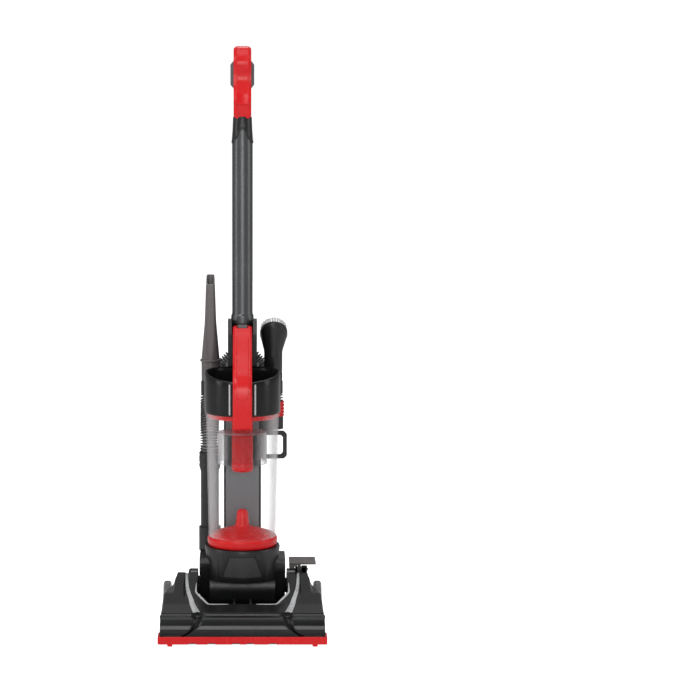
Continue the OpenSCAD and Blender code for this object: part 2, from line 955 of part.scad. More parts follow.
// Carrying handle, drawn from the side: an arch from the latch down the front of the bin
module carry_handle() {
    color("#d22528")
        difference() {
            translate([-carry_w / 2, 0, 0])
                rotate([90, 0, 90])
                    linear_extrude(carry_w)
                        polygon([
                            [82, 557], [60, 557], [44, 540], [20, 506], [-4, 480], [-16, 462],
                            [-20, 444], [-21, 420], [-19.5, 376], [-17, 372], [-5, 372],
                            [-5, 396], [-8, 452], [4, 466], [30, 496], [54, 526], [66, 534],
                            [82, 534]]);
            translate([0, bin_y, cup_z1])
                cylinder(r = lid_r, h = 66);
            translate([0, bin_y, cup_z0])
                cylinder(r1 = cup_r_low, r2 = cup_r_top, h = cup_z1 - cup_z0);
            translate([-10.4, 50, 541])
                cube([20.8, 28, 30]);
        }
}

module latch_button() {
    color("#5f625f")
        translate([-10, 61, 546])
            cube([20, 16.5, 13]);
}

module separator_screen() {
    color("#c4262a")
        difference() {
            translate([0, bin_y, 283])
                cylinder(r = 20, h = 104);
            translate([0, bin_y, 286])
                cylinder(r = 18, h = 110);
        }
}

module separator_shroud() {
    color([0.9, 0.91, 0.92, 0.35])
        translate([0, bin_y, 0])
            rotate_extrude()
                polygon([
                    [46.5, 299], [46.5, 359], [20, 359], [20, 357], [44.6, 357], [44.6, 299]]);
}

module filter_tray() {
    color("#c9282b")
        translate([0, bin_y, 0])
            difference() {
                translate([0, 0, 387])
                    cylinder(r1 = 66, r2 = 66.3, h = 8.6);
                translate([0, 0, 390])
                    cylinder(r = 61, h = 20);
                translate([0, 0, 380])
                    cylinder(r = 17, h = 30);
            }
}

module foam_filter() {
    color("#3d3f42")
        translate([0, bin_y, 390])
            cylinder(r = 59, h = 32);
}

module bin_door() {
    color("#cf2427")
        translate([0, bin_y, 0])
            rotate_extrude()
                polygon([
                    [0, 163], [10, 166], [26, 160], [44, 156], [58, 152], [58, door_foot],
                    [64, door_foot], [66, 149], [66, 158], [63, cup_z0], [60.5, cup_z0],
                    [60, 164], [46, 169],
                    [30, 174], [14, 178], [13, 182], [10.5, 205], [7, 210], [0, 211]]);
}

module crevice_tool() {
    blade_z = 560;
    tip_z = tool_z0 + crevice_l - 16;
    color("#6e6768")
        translate([crevice_xy[0], crevice_xy[1], 0])
            difference() {
                union() {
                    translate([0, 0, tool_z0])
                        cylinder(r = tool_r, h = 40);
                    translate([0, 0, 484])
                        cylinder(r = 20, h = 4);
                    hull() {
                        translate([0, 0, 486])
                            cylinder(r = tool_r, h = 6, $fn = fine);
                        translate([-11, -16, blade_z])
                            cube([22, 32, 1]);
                    }
                    hull() {
                        translate([-11, -16, blade_z])
                            cube([22, 32, 1]);
                        translate([-7.5, -15, tip_z])
                            cube([15, 30, 1]);
                    }
                }
                translate([0, 0, tool_z0 - cut])
                    cylinder(r = socket_r, h = 44);
                hull() {
                    translate([0, 0, 486])
                        cylinder(r = 15, h = 4, $fn = fine);
                    translate([-5, -13, tip_z])
                        cube([10, 26, 20]);
                }
                translate([-20, -15, 632])
                    rotate([30, 0, 0])
                        cube([40, 80, 60]);
            }
}

// Stored dusting brush: a socket pipe and an oval head that leans back
module brush_pipe() {
    color("#191a1b")
        translate([brush_xy[0], brush_xy[1], 0])
            difference() {
                union() {
                    translate([0, 0, tool_z0])
                        cylinder(r = tool_r, h = 62);
                    hull() {
                        translate([0, 0, 500])
                            cylinder(r = tool_r, h = 8, $fn = fine);
                        translate([1, head_y, head_z])
                            rotate([-head_lean, 0, 0])
                                scale([26.4, 36, 1])
                                    cylinder(r = 1, h = 12, $fn = fine);
                    }
                }
                translate([0, 0, tool_z0 - cut])
                    cylinder(r = socket_r, h = 70);
                hull() {
                    translate([0, 0, 508])
                        cylinder(r = 13, h = 1, $fn = fine);
                    translate([1, head_y, head_z])
                        rotate([-head_lean, 0, 0])
                            translate([0, 0, 4])
                                scale([17, 25, 1])
                                    cylinder(r = 1, h = 20, $fn = fine);
                }
            }
}

module brush_tufts() {
    tufts = 30;
    color("#e8e9ea")
        translate([brush_xy[0] + 1, brush_xy[1] + head_y, head_z])
            rotate([-head_lean, 0, 0])
                for (i = [0 : tufts - 1])
                    translate([22 * cos(360 * i / tufts), 31 * sin(360 * i / tufts), 10])
                        cylinder(r = 1.9, h = 12, $fn = 6);
}

module wand() {
    color("#1e1f20")
        translate([wand_xy[0], wand_xy[1], 0])
            rotate_extrude()
                polygon([
                    [15.5, 122], [wand_r, 122], [wand_r, 270], [20.5, 280], [20.5, wand_z1],
                    [15.5, wand_z1]]);
}

placed() foot_base();
placed() foot_hood();
placed() hood_trims();
placed() guard_strip();
placed() sole_plate();
placed() foot_duct();
placed() brush_bearings();
placed() drive_belt();
placed() wheel_axles();
placed() pedal_pin();
placed() pedal_spring();
placed() trunnion_seal();
placed() foot_screws();
placed() brush_roll();
placed() roll_bristles();
placed() wheel_left();
placed() tyre_left();
placed() wheel_right();
placed() tyre_right();
placed() recline_pedal();
placed() motor_housing();
placed() motor_can();
placed() motor_mounts();
placed() post_filter();
placed() spine_frame();
placed() rear_cover();
placed() wand_port();
placed() inlet_elbow();
placed() hose_cuff();
placed() hose();
placed() hose_rest();
placed() cord_hook_lower();
placed() cord_gland();
placed() tool_pegs();
placed() neck_bracket();
placed() handle_tube();
placed() grip_sleeve();
placed() grip_handle();
placed() body_screws();
placed() motor_rotor();
placed() fan_impeller();
placed() drive_pulley();
placed() filter_door();
placed() bin_cup();
placed() bin_lid();
placed() carry_handle();
placed() separator_screen();
placed() separator_shroud();
placed() filter_tray();
placed() foam_filter();
placed() bin_door();
placed() latch_button();
placed() crevice_tool();
placed() brush_pipe();
placed() brush_tufts();
placed() wand();
placed() cord_hook_upper();
placed() power_switch();
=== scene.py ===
import json
import math

import bmesh
import bpy
import numpy as np
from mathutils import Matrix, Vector


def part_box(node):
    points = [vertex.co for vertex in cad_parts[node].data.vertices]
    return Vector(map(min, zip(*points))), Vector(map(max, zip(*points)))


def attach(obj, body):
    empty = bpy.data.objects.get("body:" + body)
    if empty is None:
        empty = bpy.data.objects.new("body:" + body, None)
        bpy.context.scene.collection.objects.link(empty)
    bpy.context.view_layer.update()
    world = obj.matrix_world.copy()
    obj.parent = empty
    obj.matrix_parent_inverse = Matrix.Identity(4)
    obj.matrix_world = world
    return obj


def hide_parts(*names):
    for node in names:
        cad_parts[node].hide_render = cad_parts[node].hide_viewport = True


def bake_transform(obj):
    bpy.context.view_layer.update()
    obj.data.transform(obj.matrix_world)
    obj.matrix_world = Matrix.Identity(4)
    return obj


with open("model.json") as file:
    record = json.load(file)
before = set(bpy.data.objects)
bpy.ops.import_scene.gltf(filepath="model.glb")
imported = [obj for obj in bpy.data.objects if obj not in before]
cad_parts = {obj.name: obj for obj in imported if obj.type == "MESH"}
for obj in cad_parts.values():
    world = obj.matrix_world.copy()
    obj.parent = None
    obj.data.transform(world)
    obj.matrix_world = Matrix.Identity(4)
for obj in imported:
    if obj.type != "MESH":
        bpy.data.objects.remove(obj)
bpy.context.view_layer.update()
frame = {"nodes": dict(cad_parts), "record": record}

scene = bpy.context.scene
record = frame["record"]
cadNodes = frame["nodes"]
slotOf = {part["node"]: part["material_slot"] for part in record["subparts"]}
bodyOf = {n: body for body, names in record["behaviour"]["bodies"].items() for n in names}

# Shapes are worked out in millimetres in the drawings' own frame, where the handle tube stands at Y 105.
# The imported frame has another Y, and backShift leads from the one to the other.
tubeY = 105
tubeLow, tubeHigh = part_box("handle_tube")
backShift = (tubeLow.y + tubeHigh.y) * 500 - tubeY


def toFrame(points):
    # millimetres in the drawings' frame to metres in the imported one
    return (np.asarray(points, float).reshape(-1, 3) + [0, backShift, 0]) * 0.001


# place in millimetres, pitch down in degrees
cameraSpec = {"place": (0, -3500, 900), "pitch": 5.8, "lens": 101, "shiftX": 0.1435, "shiftY": -0.005,
              "farEnd": 50}

lens = bpy.data.cameras.new("viewCamera")
lens.lens = cameraSpec["lens"]
lens.sensor_width = 36
lens.shift_x = cameraSpec["shiftX"]
lens.shift_y = cameraSpec["shiftY"]
lens.clip_end = cameraSpec["farEnd"]
viewer = bpy.data.objects.new("viewCamera", lens)
viewer.location = toFrame([cameraSpec["place"]])[0]
viewer.rotation_euler = (math.radians(90 - cameraSpec["pitch"]), 0, 0)
scene.collection.objects.link(viewer)
scene.camera = viewer
scene.view_settings.view_transform = "Standard"

lampSpec = {
    # name: place (m), aim (m), width, height, watts
    "frontStrip": ((0.0, -4.4, 1.05), (0, 0, 0.7), 1.3, 1.1, 30),
    "keyPanel": ((-1.5, -3.0, 3.4), (0, 0, 0.4), 1.8, 1.4, 40),
    "leftPanel": ((-3.4, -0.9, 1.6), (0, 0, 0.6), 1.0, 3.2, 27),
    "rightPanel": ((3.4, -0.6, 1.5), (0, 0, 0.6), 0.9, 3.0, 20),
    "topPanel": ((0.0, -0.9, 3.8), (0, 0, 0.3), 2.4, 1.6, 24),
    "backPanel": ((0.4, 2.6, 4.2), (0, 0, 0.5), 2.2, 1.2, 36),
}
for lampName, (place, aim, width, height, watts) in lampSpec.items():
    lamp = bpy.data.lights.new(lampName, "AREA")
    lamp.shape = "RECTANGLE"
    lamp.size, lamp.size_y, lamp.energy = width, height, watts
    holder = bpy.data.objects.new(lampName, lamp)
    holder.location = place
    holder.rotation_euler = (Vector(aim) - Vector(place)).to_track_quat("-Z", "Y").to_euler()
    holder.visible_camera = False
    scene.collection.objects.link(holder)
print("camera and lamps are set")


class Flow:
    # wraps one socket of a node tree, so that shader maths reads as arithmetic
    def __init__(self, tree, socket=None):
        self.tree, self.socket = tree, socket

    def node(self, kind, settings=None, sockets=None, out=0):
        made = self.tree.nodes.new(kind)
        for key, value in (settings or {}).items():
            setattr(made, key, value)
        for key, value in (sockets or {}).items():
            if isinstance(value, Flow):
                self.tree.links.new(value.socket, made.inputs[key])
            else:
                made.inputs[key].default_value = value
        return Flow(self.tree, made.outputs[out] if made.outputs else None)

    def maths(self, operation, first, second):
        return self.node("ShaderNodeMath", {"operation": operation}, {0: first, 1: second})

    def __add__(self, other):
        return self.maths("ADD", self, other)

    def __radd__(self, other):
        return self.maths("ADD", other, self)

    def __sub__(self, other):
        return self.maths("SUBTRACT", self, other)

    def __rsub__(self, other):
        return self.maths("SUBTRACT", other, self)

    def __mul__(self, other):
        return self.maths("MULTIPLY", self, other)

    def __rmul__(self, other):
        return self.maths("MULTIPLY", other, self)

    def blendColour(self, low, high):
        # low where this value is 0 and high where it is 1
        return self.node("ShaderNodeMix", {"data_type": "RGBA"}, {0: self, 6: low, 7: high}, out=2)

    def step(self, low, high):
        # 0 below low and 1 above high
        return self.node("ShaderNodeMapRange", {"interpolation_type": "SMOOTHSTEP"},
                         {"Value": self, "From Min": low, "From Max": high})


def newFinish(name):
    material = bpy.data.materials.new(name)
    material.use_nodes = True
    material.node_tree.nodes.clear()
    flow = Flow(material.node_tree)
    place = flow.node("ShaderNodeTexCoord", out="Object")
    return material, flow, place


def noise(flow, place, scale, detail=2.0, stretch=(1, 1, 1)):
    turned = flow.node("ShaderNodeMapping", {}, {"Vector": place, "Scale": stretch})
    return flow.node("ShaderNodeTexNoise", {}, {"Vector": turned, "Scale": scale, "Detail": detail})


def surface(flow, values):
    shader = flow.node("ShaderNodeBsdfPrincipled", {}, values)
    flow.node("ShaderNodeOutputMaterial", {}, {"Surface": shader})


def moulded(name, spec):
    # moulded plastic: cloudy tone, fine grain relief, rubbed and dusty patches in the roughness
    material, flow, place = newFinish(name)
    cloud = noise(flow, place, 14, 4)
    grain = noise(flow, place, spec["grain"], 2)
    rub = noise(flow, place, 60, 5, (1, 1, 0.25)).step(0.52, 0.7)
    tone = cloud.blendColour((*spec["dark"], 1), (*spec["light"], 1))
    rough = spec["rough"] + (cloud - 0.5) * spec["swing"] + rub * spec["rub"]
    relief = {"Height": grain, "Strength": spec["relief"], "Distance": 0.0002}
    bump = flow.node("ShaderNodeBump", {}, relief)
    values = {"Base Color": tone, "Roughness": rough, "Normal": bump, "IOR": spec.get("ior", 1.5),
              "Coat Weight": spec.get("coat", 0.0), "Coat Roughness": 0.06,
              "Metallic": spec.get("metallic", 0.0)}
    surface(flow, values)
    return material


def brushed(name, spec):
    # metal: fine turned lines along X and Z, a little tarnish
    material, flow, place = newFinish(name)
    lines = noise(flow, place, spec["grain"], 3, (0.06, 1, 1))
    cloud = noise(flow, place, 30, 3)
    tone = cloud.blendColour((*spec["dark"], 1), (*spec["light"], 1))
    rough = spec["rough"] + (lines - 0.5) * 0.18 + (cloud - 0.5) * 0.1
    bump = flow.node("ShaderNodeBump", {}, {"Height": lines, "Strength": 0.15, "Distance": 0.0001})
    surface(flow, {"Base Color": tone, "Roughness": rough, "Normal": bump, "Metallic": 1.0})
    return material


def clearMoulding(name, spec):
    # clear plastic: mostly see-through, with a gloss skin that is stronger at grazing angles
    material, flow, place = newFinish(name)
    facing = flow.node("ShaderNodeLayerWeight", {}, {"Blend": 0.5}, out="Facing")
    haze = noise(flow, place, 22, 4)
    marks = noise(flow, place, 420, 2, (1, 1, 0.1)).step(0.62, 0.8)
    share = spec["body"] + facing.step(0.12, 0.62) * spec["edge"] + (haze - 0.5) * 0.01 + marks * 0.008
    tone = haze.blendColour((*spec["dark"], 1), (*spec["light"], 1))
    skin = flow.node("ShaderNodeBsdfPrincipled", {}, {"Base Color": tone, "Roughness": 0.08, "IOR": 1.5})
    seeThrough = flow.node("ShaderNodeBsdfTransparent", {}, {"Color": (*spec["tint"], 1)})
    mixed = flow.node("ShaderNodeMixShader", {}, {0: share, 1: seeThrough, 2: skin})
    flow.node("ShaderNodeOutputMaterial", {}, {"Surface": mixed})
    return material


def turnedWood(name, spec):
    # the brush roll's wood, its grain stretched along X
    material, flow, place = newFinish(name)
    rings = noise(flow, place, 90, 5, (0.08, 1, 1))
    tone = rings.blendColour((*spec["dark"], 1), (*spec["light"], 1))
    bump = flow.node("ShaderNodeBump", {}, {"Height": rings, "Strength": 0.3, "Distance": 0.0002})
    surface(flow, {"Base Color": tone, "Roughness": 0.55 + (rings - 0.5) * 0.2, "Normal": bump})
    return material


def openFoam(name, spec):
    # filter foam: round cells that show in the tone and in the relief
    material, flow, place = newFinish(name)
    cells = flow.node("ShaderNodeTexVoronoi", {}, {"Vector": place, "Scale": 620})
    cloud = noise(flow, place, 40, 3)
    tone = cells.blendColour((*spec["dark"], 1), (*spec["light"], 1))
    bump = flow.node("ShaderNodeBump", {}, {"Height": cells, "Strength": 0.8, "Distance": 0.0008})
    surface(flow, {"Base Color": tone, "Roughness": 0.85 + (cloud - 0.5) * 0.1, "Normal": bump})
    return material


mouldSpec = {
    "black_gloss": dict(dark=(0.008, 0.0085, 0.0085), light=(0.013, 0.0135, 0.0135),
                        rough=0.2, swing=0.06, rub=0.04, grain=900, relief=0.02, coat=0.03, ior=1.34),
    "black_satin": dict(dark=(0.009, 0.0095, 0.0095), light=(0.015, 0.0155, 0.0155),
                        rough=0.34, swing=0.1, rub=0.07, grain=2300, relief=0.22),
    "red_gloss": dict(dark=(0.7, 0.01, 0.013), light=(0.8, 0.014, 0.017),
                      rough=0.26, swing=0.07, rub=0.05, grain=1100, relief=0.05, ior=1.38),
    # silver_trim is a painted highlight: its pale silver stands for the glint that glossy black chamfers on
    # the hood and the lid catch
    "silver_trim": dict(dark=(0.5, 0.51, 0.52), light=(0.62, 0.63, 0.64),
                        rough=0.26, swing=0.1, rub=0.08, grain=2600, relief=0.08, coat=0.2),
    "grey_plastic": dict(dark=(0.1, 0.103, 0.106), light=(0.135, 0.138, 0.142),
                         rough=0.4, swing=0.1, rub=0.07, grain=2300, relief=0.2),
    "spine_grey": dict(dark=(0.25, 0.253, 0.262), light=(0.29, 0.294, 0.304),
                       rough=0.42, swing=0.1, rub=0.07, grain=2300, relief=0.2),
    "badge_grey": dict(dark=(0.04, 0.0405, 0.041), light=(0.052, 0.0525, 0.053),
                       rough=0.36, swing=0.08, rub=0.06, grain=2600, relief=0.15),
    "warm_grey": dict(dark=(0.11, 0.094, 0.096), light=(0.145, 0.127, 0.128),
                      rough=0.38, swing=0.1, rub=0.07, grain=2000, relief=0.2),
    "tube_paint": dict(dark=(0.105, 0.108, 0.112), light=(0.13, 0.133, 0.137),
                       rough=0.36, swing=0.05, rub=0.03, grain=1500, relief=0.004, metallic=0.85),
    "rubber": dict(dark=(0.009, 0.009, 0.009), light=(0.017, 0.017, 0.017),
                   rough=0.62, swing=0.12, rub=0.1, grain=1700, relief=0.35),
    "tyre": dict(dark=(0.11, 0.11, 0.11), light=(0.16, 0.16, 0.16),
                 rough=0.42, swing=0.14, rub=0.12, grain=1500, relief=0.4),
    "wheel_grey": dict(dark=(0.42, 0.42, 0.42), light=(0.52, 0.52, 0.52),
                       rough=0.3, swing=0.1, rub=0.08, grain=1600, relief=0.1, coat=0.1),
    "fan_plastic": dict(dark=(0.6, 0.6, 0.57), light=(0.72, 0.72, 0.7),
                        rough=0.4, swing=0.1, rub=0.05, grain=1800, relief=0.15),
    "hose_plastic": dict(dark=(0.016, 0.017, 0.018), light=(0.028, 0.029, 0.03),
                         rough=0.4, swing=0.1, rub=0.1, grain=1300, relief=0.2),
    "black_bristle": dict(dark=(0.01, 0.01, 0.011), light=(0.02, 0.02, 0.021),
                          rough=0.45, swing=0.1, rub=0.05, grain=2500, relief=0.1),
    "white_bristle": dict(dark=(0.62, 0.63, 0.64), light=(0.82, 0.83, 0.84),
                          rough=0.45, swing=0.1, rub=0.05, grain=2500, relief=0.1),
    "bearing_plastic": dict(dark=(0.03, 0.03, 0.03), light=(0.045, 0.045, 0.045),
                            rough=0.45, swing=0.1, rub=0.05, grain=2000, relief=0.2),
}
metalSpec = {
    "steel": dict(dark=(0.45, 0.46, 0.47), light=(0.62, 0.63, 0.64), rough=0.3, grain=900),
    "alloy": dict(dark=(0.55, 0.56, 0.57), light=(0.7, 0.71, 0.72), rough=0.26, grain=900),
    "rotor_iron": dict(dark=(0.2, 0.12, 0.06), light=(0.42, 0.26, 0.14), rough=0.42, grain=500),
}
clearSpec = {
    "clear_plastic": dict(dark=(0.72, 0.73, 0.74), light=(0.85, 0.86, 0.87),
                          tint=(0.99, 0.992, 0.994), body=0.01, edge=0.28),
    "clear_bell": dict(dark=(0.6, 0.61, 0.62), light=(0.8, 0.81, 0.82),
                       tint=(0.985, 0.988, 0.99), body=0.008, edge=0.45),
}
finishes = {name: moulded(name, spec) for name, spec in mouldSpec.items()}
finishes |= {name: brushed(name, spec) for name, spec in metalSpec.items()}
finishes |= {name: clearMoulding(name, spec) for name, spec in clearSpec.items()}
finishes["wood"] = turnedWood("wood", dict(dark=(0.26, 0.15, 0.07), light=(0.5, 0.33, 0.18)))
finishes["foam"] = openFoam("foam", dict(dark=(0.015, 0.015, 0.017), light=(0.07, 0.072, 0.078)))
print("finishes:", len(finishes))


def gridFaces(rows, columns, wrapRows=False, wrapColumns=False):
    # each face joins a grid point with its neighbours in the next row and the next column
    i, j = np.meshgrid(np.arange(rows if wrapRows else rows - 1),
                       np.arange(columns if wrapColumns else columns - 1), indexing="ij")
    across, down = (j + 1) % columns, (i + 1) % rows
    corners = [i * columns + j, i * columns + across, down * columns + across, down * columns + j]
    return np.stack(corners, -1).reshape(-1, 4)


def tubeFaces(rings, sides, closed=False):
    # faces of a tube that is made of rings; an open tube gets a flat face at each end
    faces = gridFaces(rings, sides, closed, True).tolist()
    if not closed:
        faces += [list(range(sides)), list(range((rings - 1) * sides, rings * sides))]
    return faces


def throughPoints(a, b, c, d, t):
    # Catmull-Rom cubic: b at t = 0 and c at t = 1, with slopes that come from the neighbours a and d
    square, cube = 2 * a - 5 * b + 4 * c - d, 3 * b - a - 3 * c + d
    return 0.5 * (2 * b + (c - a) * t + square * t ** 2 + cube * t ** 3)


def softCorners(outline, reach, steps=5):
    # each corner becomes a quadratic curve that starts and ends reach millimetres from it
    corner = np.asarray(outline, float)
    reach = np.broadcast_to(np.asarray(reach, float).reshape(-1, 1), (len(corner), 1))
    before, after = np.roll(corner, 1, 0) - corner, np.roll(corner, -1, 0) - corner
    beforeLength = np.linalg.norm(before, axis=1, keepdims=True)
    afterLength = np.linalg.norm(after, axis=1, keepdims=True)
    start = corner + before / beforeLength * np.minimum(reach, 0.48 * beforeLength)
    end = corner + after / afterLength * np.minimum(reach, 0.48 * afterLength)
    t = np.linspace(0, 1, steps)[None, :, None]
    curve = (1 - t) ** 2 * start[:, None] + 2 * t * (1 - t) * corner[:, None] + t ** 2 * end[:, None]
    return curve.reshape(-1, 2)


def smoothPath(points, spacing, perSpan=24):
    # Catmull-Rom curve through the points, read again at equal distances along it
    p = np.asarray(points, float)
    wide = np.vstack([2 * p[0] - p[1], p, 2 * p[-1] - p[-2]])
    t = np.linspace(0, 1, perSpan, endpoint=False)[None, :, None]
    dense = throughPoints(wide[:-3, None], wide[1:-2, None], wide[2:-1, None], wide[3:, None], t)
    dense = np.vstack([dense.reshape(-1, p.shape[1]), p[-1:]])
    run = np.concatenate([[0], np.cumsum(np.linalg.norm(np.diff(dense, axis=0), axis=1))])
    marks = np.linspace(0, run[-1], max(int(round(run[-1] / spacing)), 2) + 1)
    return np.stack([np.interp(marks, run, dense[:, k]) for k in range(p.shape[1])], -1)


def turnedShape(profile, centre, steps=96, axis="z", closed=True):
    # a profile of (radius, height) carried round an axis through centre
    ring = np.asarray(profile, float)
    angle = np.linspace(0, 2 * np.pi, steps, endpoint=False)[:, None]
    side, front = ring[:, 0] * np.cos(angle), ring[:, 0] * np.sin(angle)
    along = np.broadcast_to(ring[:, 1], side.shape)
    order = {"z": (side, front, along), "x": (along, side, front), "y": (front, along, side)}[axis]
    return np.stack(order, -1) + np.asarray(centre, float), gridFaces(steps, len(ring), True, closed)


def plateShape(outline, low, high, along):
    # an outline that stands at low and again at high along one axis
    flat = np.asarray(outline, float)
    count = len(flat)
    level = np.repeat([float(low), float(high)], count)
    u, v = np.tile(flat, (2, 1)).T
    order = {"x": (level, u, v), "y": (u, level, v), "z": (u, v, level)}[along]
    return np.stack(order, -1), tubeFaces(2, count)


def sweptShape(path, radii, sides):
    # rings that stand square to the path, turned by the direction across Y
    path = np.asarray(path, float)
    heading = np.gradient(path, axis=0)
    heading /= np.linalg.norm(heading, axis=1, keepdims=True)
    across = np.cross([0.0, 1.0, 0.0], heading)
    across /= np.linalg.norm(across, axis=1, keepdims=True)
    other = np.cross(heading, across)
    angle = np.linspace(0, 2 * np.pi, sides, endpoint=False)[None, :, None]
    ring = np.cos(angle) * across[:, None] + np.sin(angle) * other[:, None]
    points = path[:, None] + np.asarray(radii, float)[:, None, None] * ring
    return points, tubeFaces(len(path), sides)


def barShape(outer, inner, half, spec, panelDepth, closed):
    # a bar whose outer and inner face run along two paired lines in Y and Z. Across, the outer face has
    # a middle panel sunk by panelDepth, and slanted shoulders; the inner face has small shoulders
    outer, inner = np.asarray(outer, float), np.asarray(inner, float)
    thick = np.linalg.norm(inner - outer, axis=1)
    inward = (inner - outer) / thick[:, None]
    panel, slope, soft = spec["panel"], spec["slope"], spec["edge"]
    shoulder, shoulderDepth = spec["shoulder"], spec["shoulderDepth"]
    one = np.ones_like(thick)
    across = [half, half - shoulder, panel + slope, panel, -panel, -panel - slope, shoulder - half, -half,
              -half, soft - half, half - soft, half]
    depth = [shoulderDepth * one, 0 * one, 0 * one, panelDepth * one, panelDepth * one, 0 * one, 0 * one,
             shoulderDepth * one, thick - soft, thick, thick, thick - soft]
    x = np.stack([one * a for a in across], 1)
    yz = outer[:, None] + inward[:, None] * np.stack(depth, 1)[:, :, None]
    return np.concatenate([x[:, :, None], yz], -1), tubeFaces(len(outer), len(across), closed)


def joinShapes(shapes):
    # several shapes as one list of points and faces
    points, faces, start = [], [], 0
    for shapePoints, shapeFaces in shapes:
        flat = np.asarray(shapePoints, float).reshape(-1, 3)
        points.append(flat)
        faces += [[start + k for k in face] for face in np.asarray(shapeFaces, object).tolist()]
        start += len(flat)
    return np.vstack(points), faces


meshCare = {"seamGap": 0.00002, "copyGap": 0.00001, "flatAngle": 0.6}     # metres and degrees


def tidyMesh(mesh):
    # closes the seams and turns the faces outwards
    work = bmesh.new()
    work.from_mesh(mesh)
    bmesh.ops.remove_doubles(work, verts=work.verts, dist=meshCare["seamGap"])
    bmesh.ops.recalc_face_normals(work, faces=work.faces)
    work.to_mesh(mesh)
    work.free()
    # an open sheet can come out inside out: its faces should look away from the middle of its points
    places = np.empty(len(mesh.vertices) * 3)
    mesh.vertices.foreach_get("co", places)
    centres, normals = np.empty(len(mesh.polygons) * 3), np.empty(len(mesh.polygons) * 3)
    areas = np.empty(len(mesh.polygons))
    mesh.polygons.foreach_get("center", centres)
    mesh.polygons.foreach_get("normal", normals)
    mesh.polygons.foreach_get("area", areas)
    outward = centres.reshape(-1, 3) - places.reshape(-1, 3).mean(0)
    if ((outward * normals.reshape(-1, 3)).sum(1) * areas).sum() < 0:
        mesh.flip_normals()


def addBevel(piece, width, angle, segments=2):
    edge = piece.modifiers.new("softEdge", "BEVEL")
    edge.width, edge.segments = width * 0.001, segments
    edge.limit_method, edge.angle_limit = "ANGLE", math.radians(angle)
    edge.harden_normals = True


def finishPiece(name, shape, slot, body, stands=(), bevel=0, smooth=35, wall=0, finish=None):
    # puts a shape into a mesh, closes its seams, gives it its finish and says what it rides on
    points, faces = shape
    mesh = bpy.data.meshes.new(name)
    mesh.from_pydata(toFrame(points).tolist(), [], np.asarray(faces, object).tolist())
    tidyMesh(mesh)
    piece = bpy.data.objects.new(name, mesh)
    scene.collection.objects.link(piece)
    mesh.materials.append(finishes[finish or slot])
    mesh.shade_smooth()
    mesh.set_sharp_from_angle(angle=math.radians(smooth))
    if wall:
        shell = piece.modifiers.new("wall", "SOLIDIFY")
        shell.thickness, shell.offset = wall * 0.001, -1
    if bevel:
        addBevel(piece, bevel, smooth)
    if stands:
        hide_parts(*stands)
    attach(piece, body)


def refinedNode(node, width, finish=None, smooth=35):
    # a copy of a CAD node, its loose triangles merged and its edges softened
    mesh = cadNodes[node].data.copy()
    mesh.name = node + ".soft"
    work = bmesh.new()
    work.from_mesh(mesh)
    bmesh.ops.remove_doubles(work, verts=work.verts, dist=meshCare["copyGap"])
    flat = math.radians(meshCare["flatAngle"])
    bmesh.ops.dissolve_limit(work, angle_limit=flat, verts=work.verts, edges=work.edges)
    work.to_mesh(mesh)
    work.free()
    mesh.materials.clear()
    mesh.materials.append(finishes[finish or slotOf[node]])
    piece = bpy.data.objects.new(node + ".soft", mesh)
    scene.collection.objects.link(piece)
    mesh.shade_smooth()
    mesh.set_sharp_from_angle(angle=math.radians(smooth))
    addBevel(piece, width, smooth)
    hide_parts(node)
    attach(piece, bodyOf[node])


def smoothStep(value, low, high):
    # 0 up to low, 1 from high on, and an S-shaped rise between them
    t = np.clip((value - low) / (high - low), 0, 1)
    return t * t * (3 - 2 * t)


def bell(value, middle, half):
    # 1 at middle, and down to both sides as a bell curve
    return np.exp(-((value - middle) / half) ** 2)


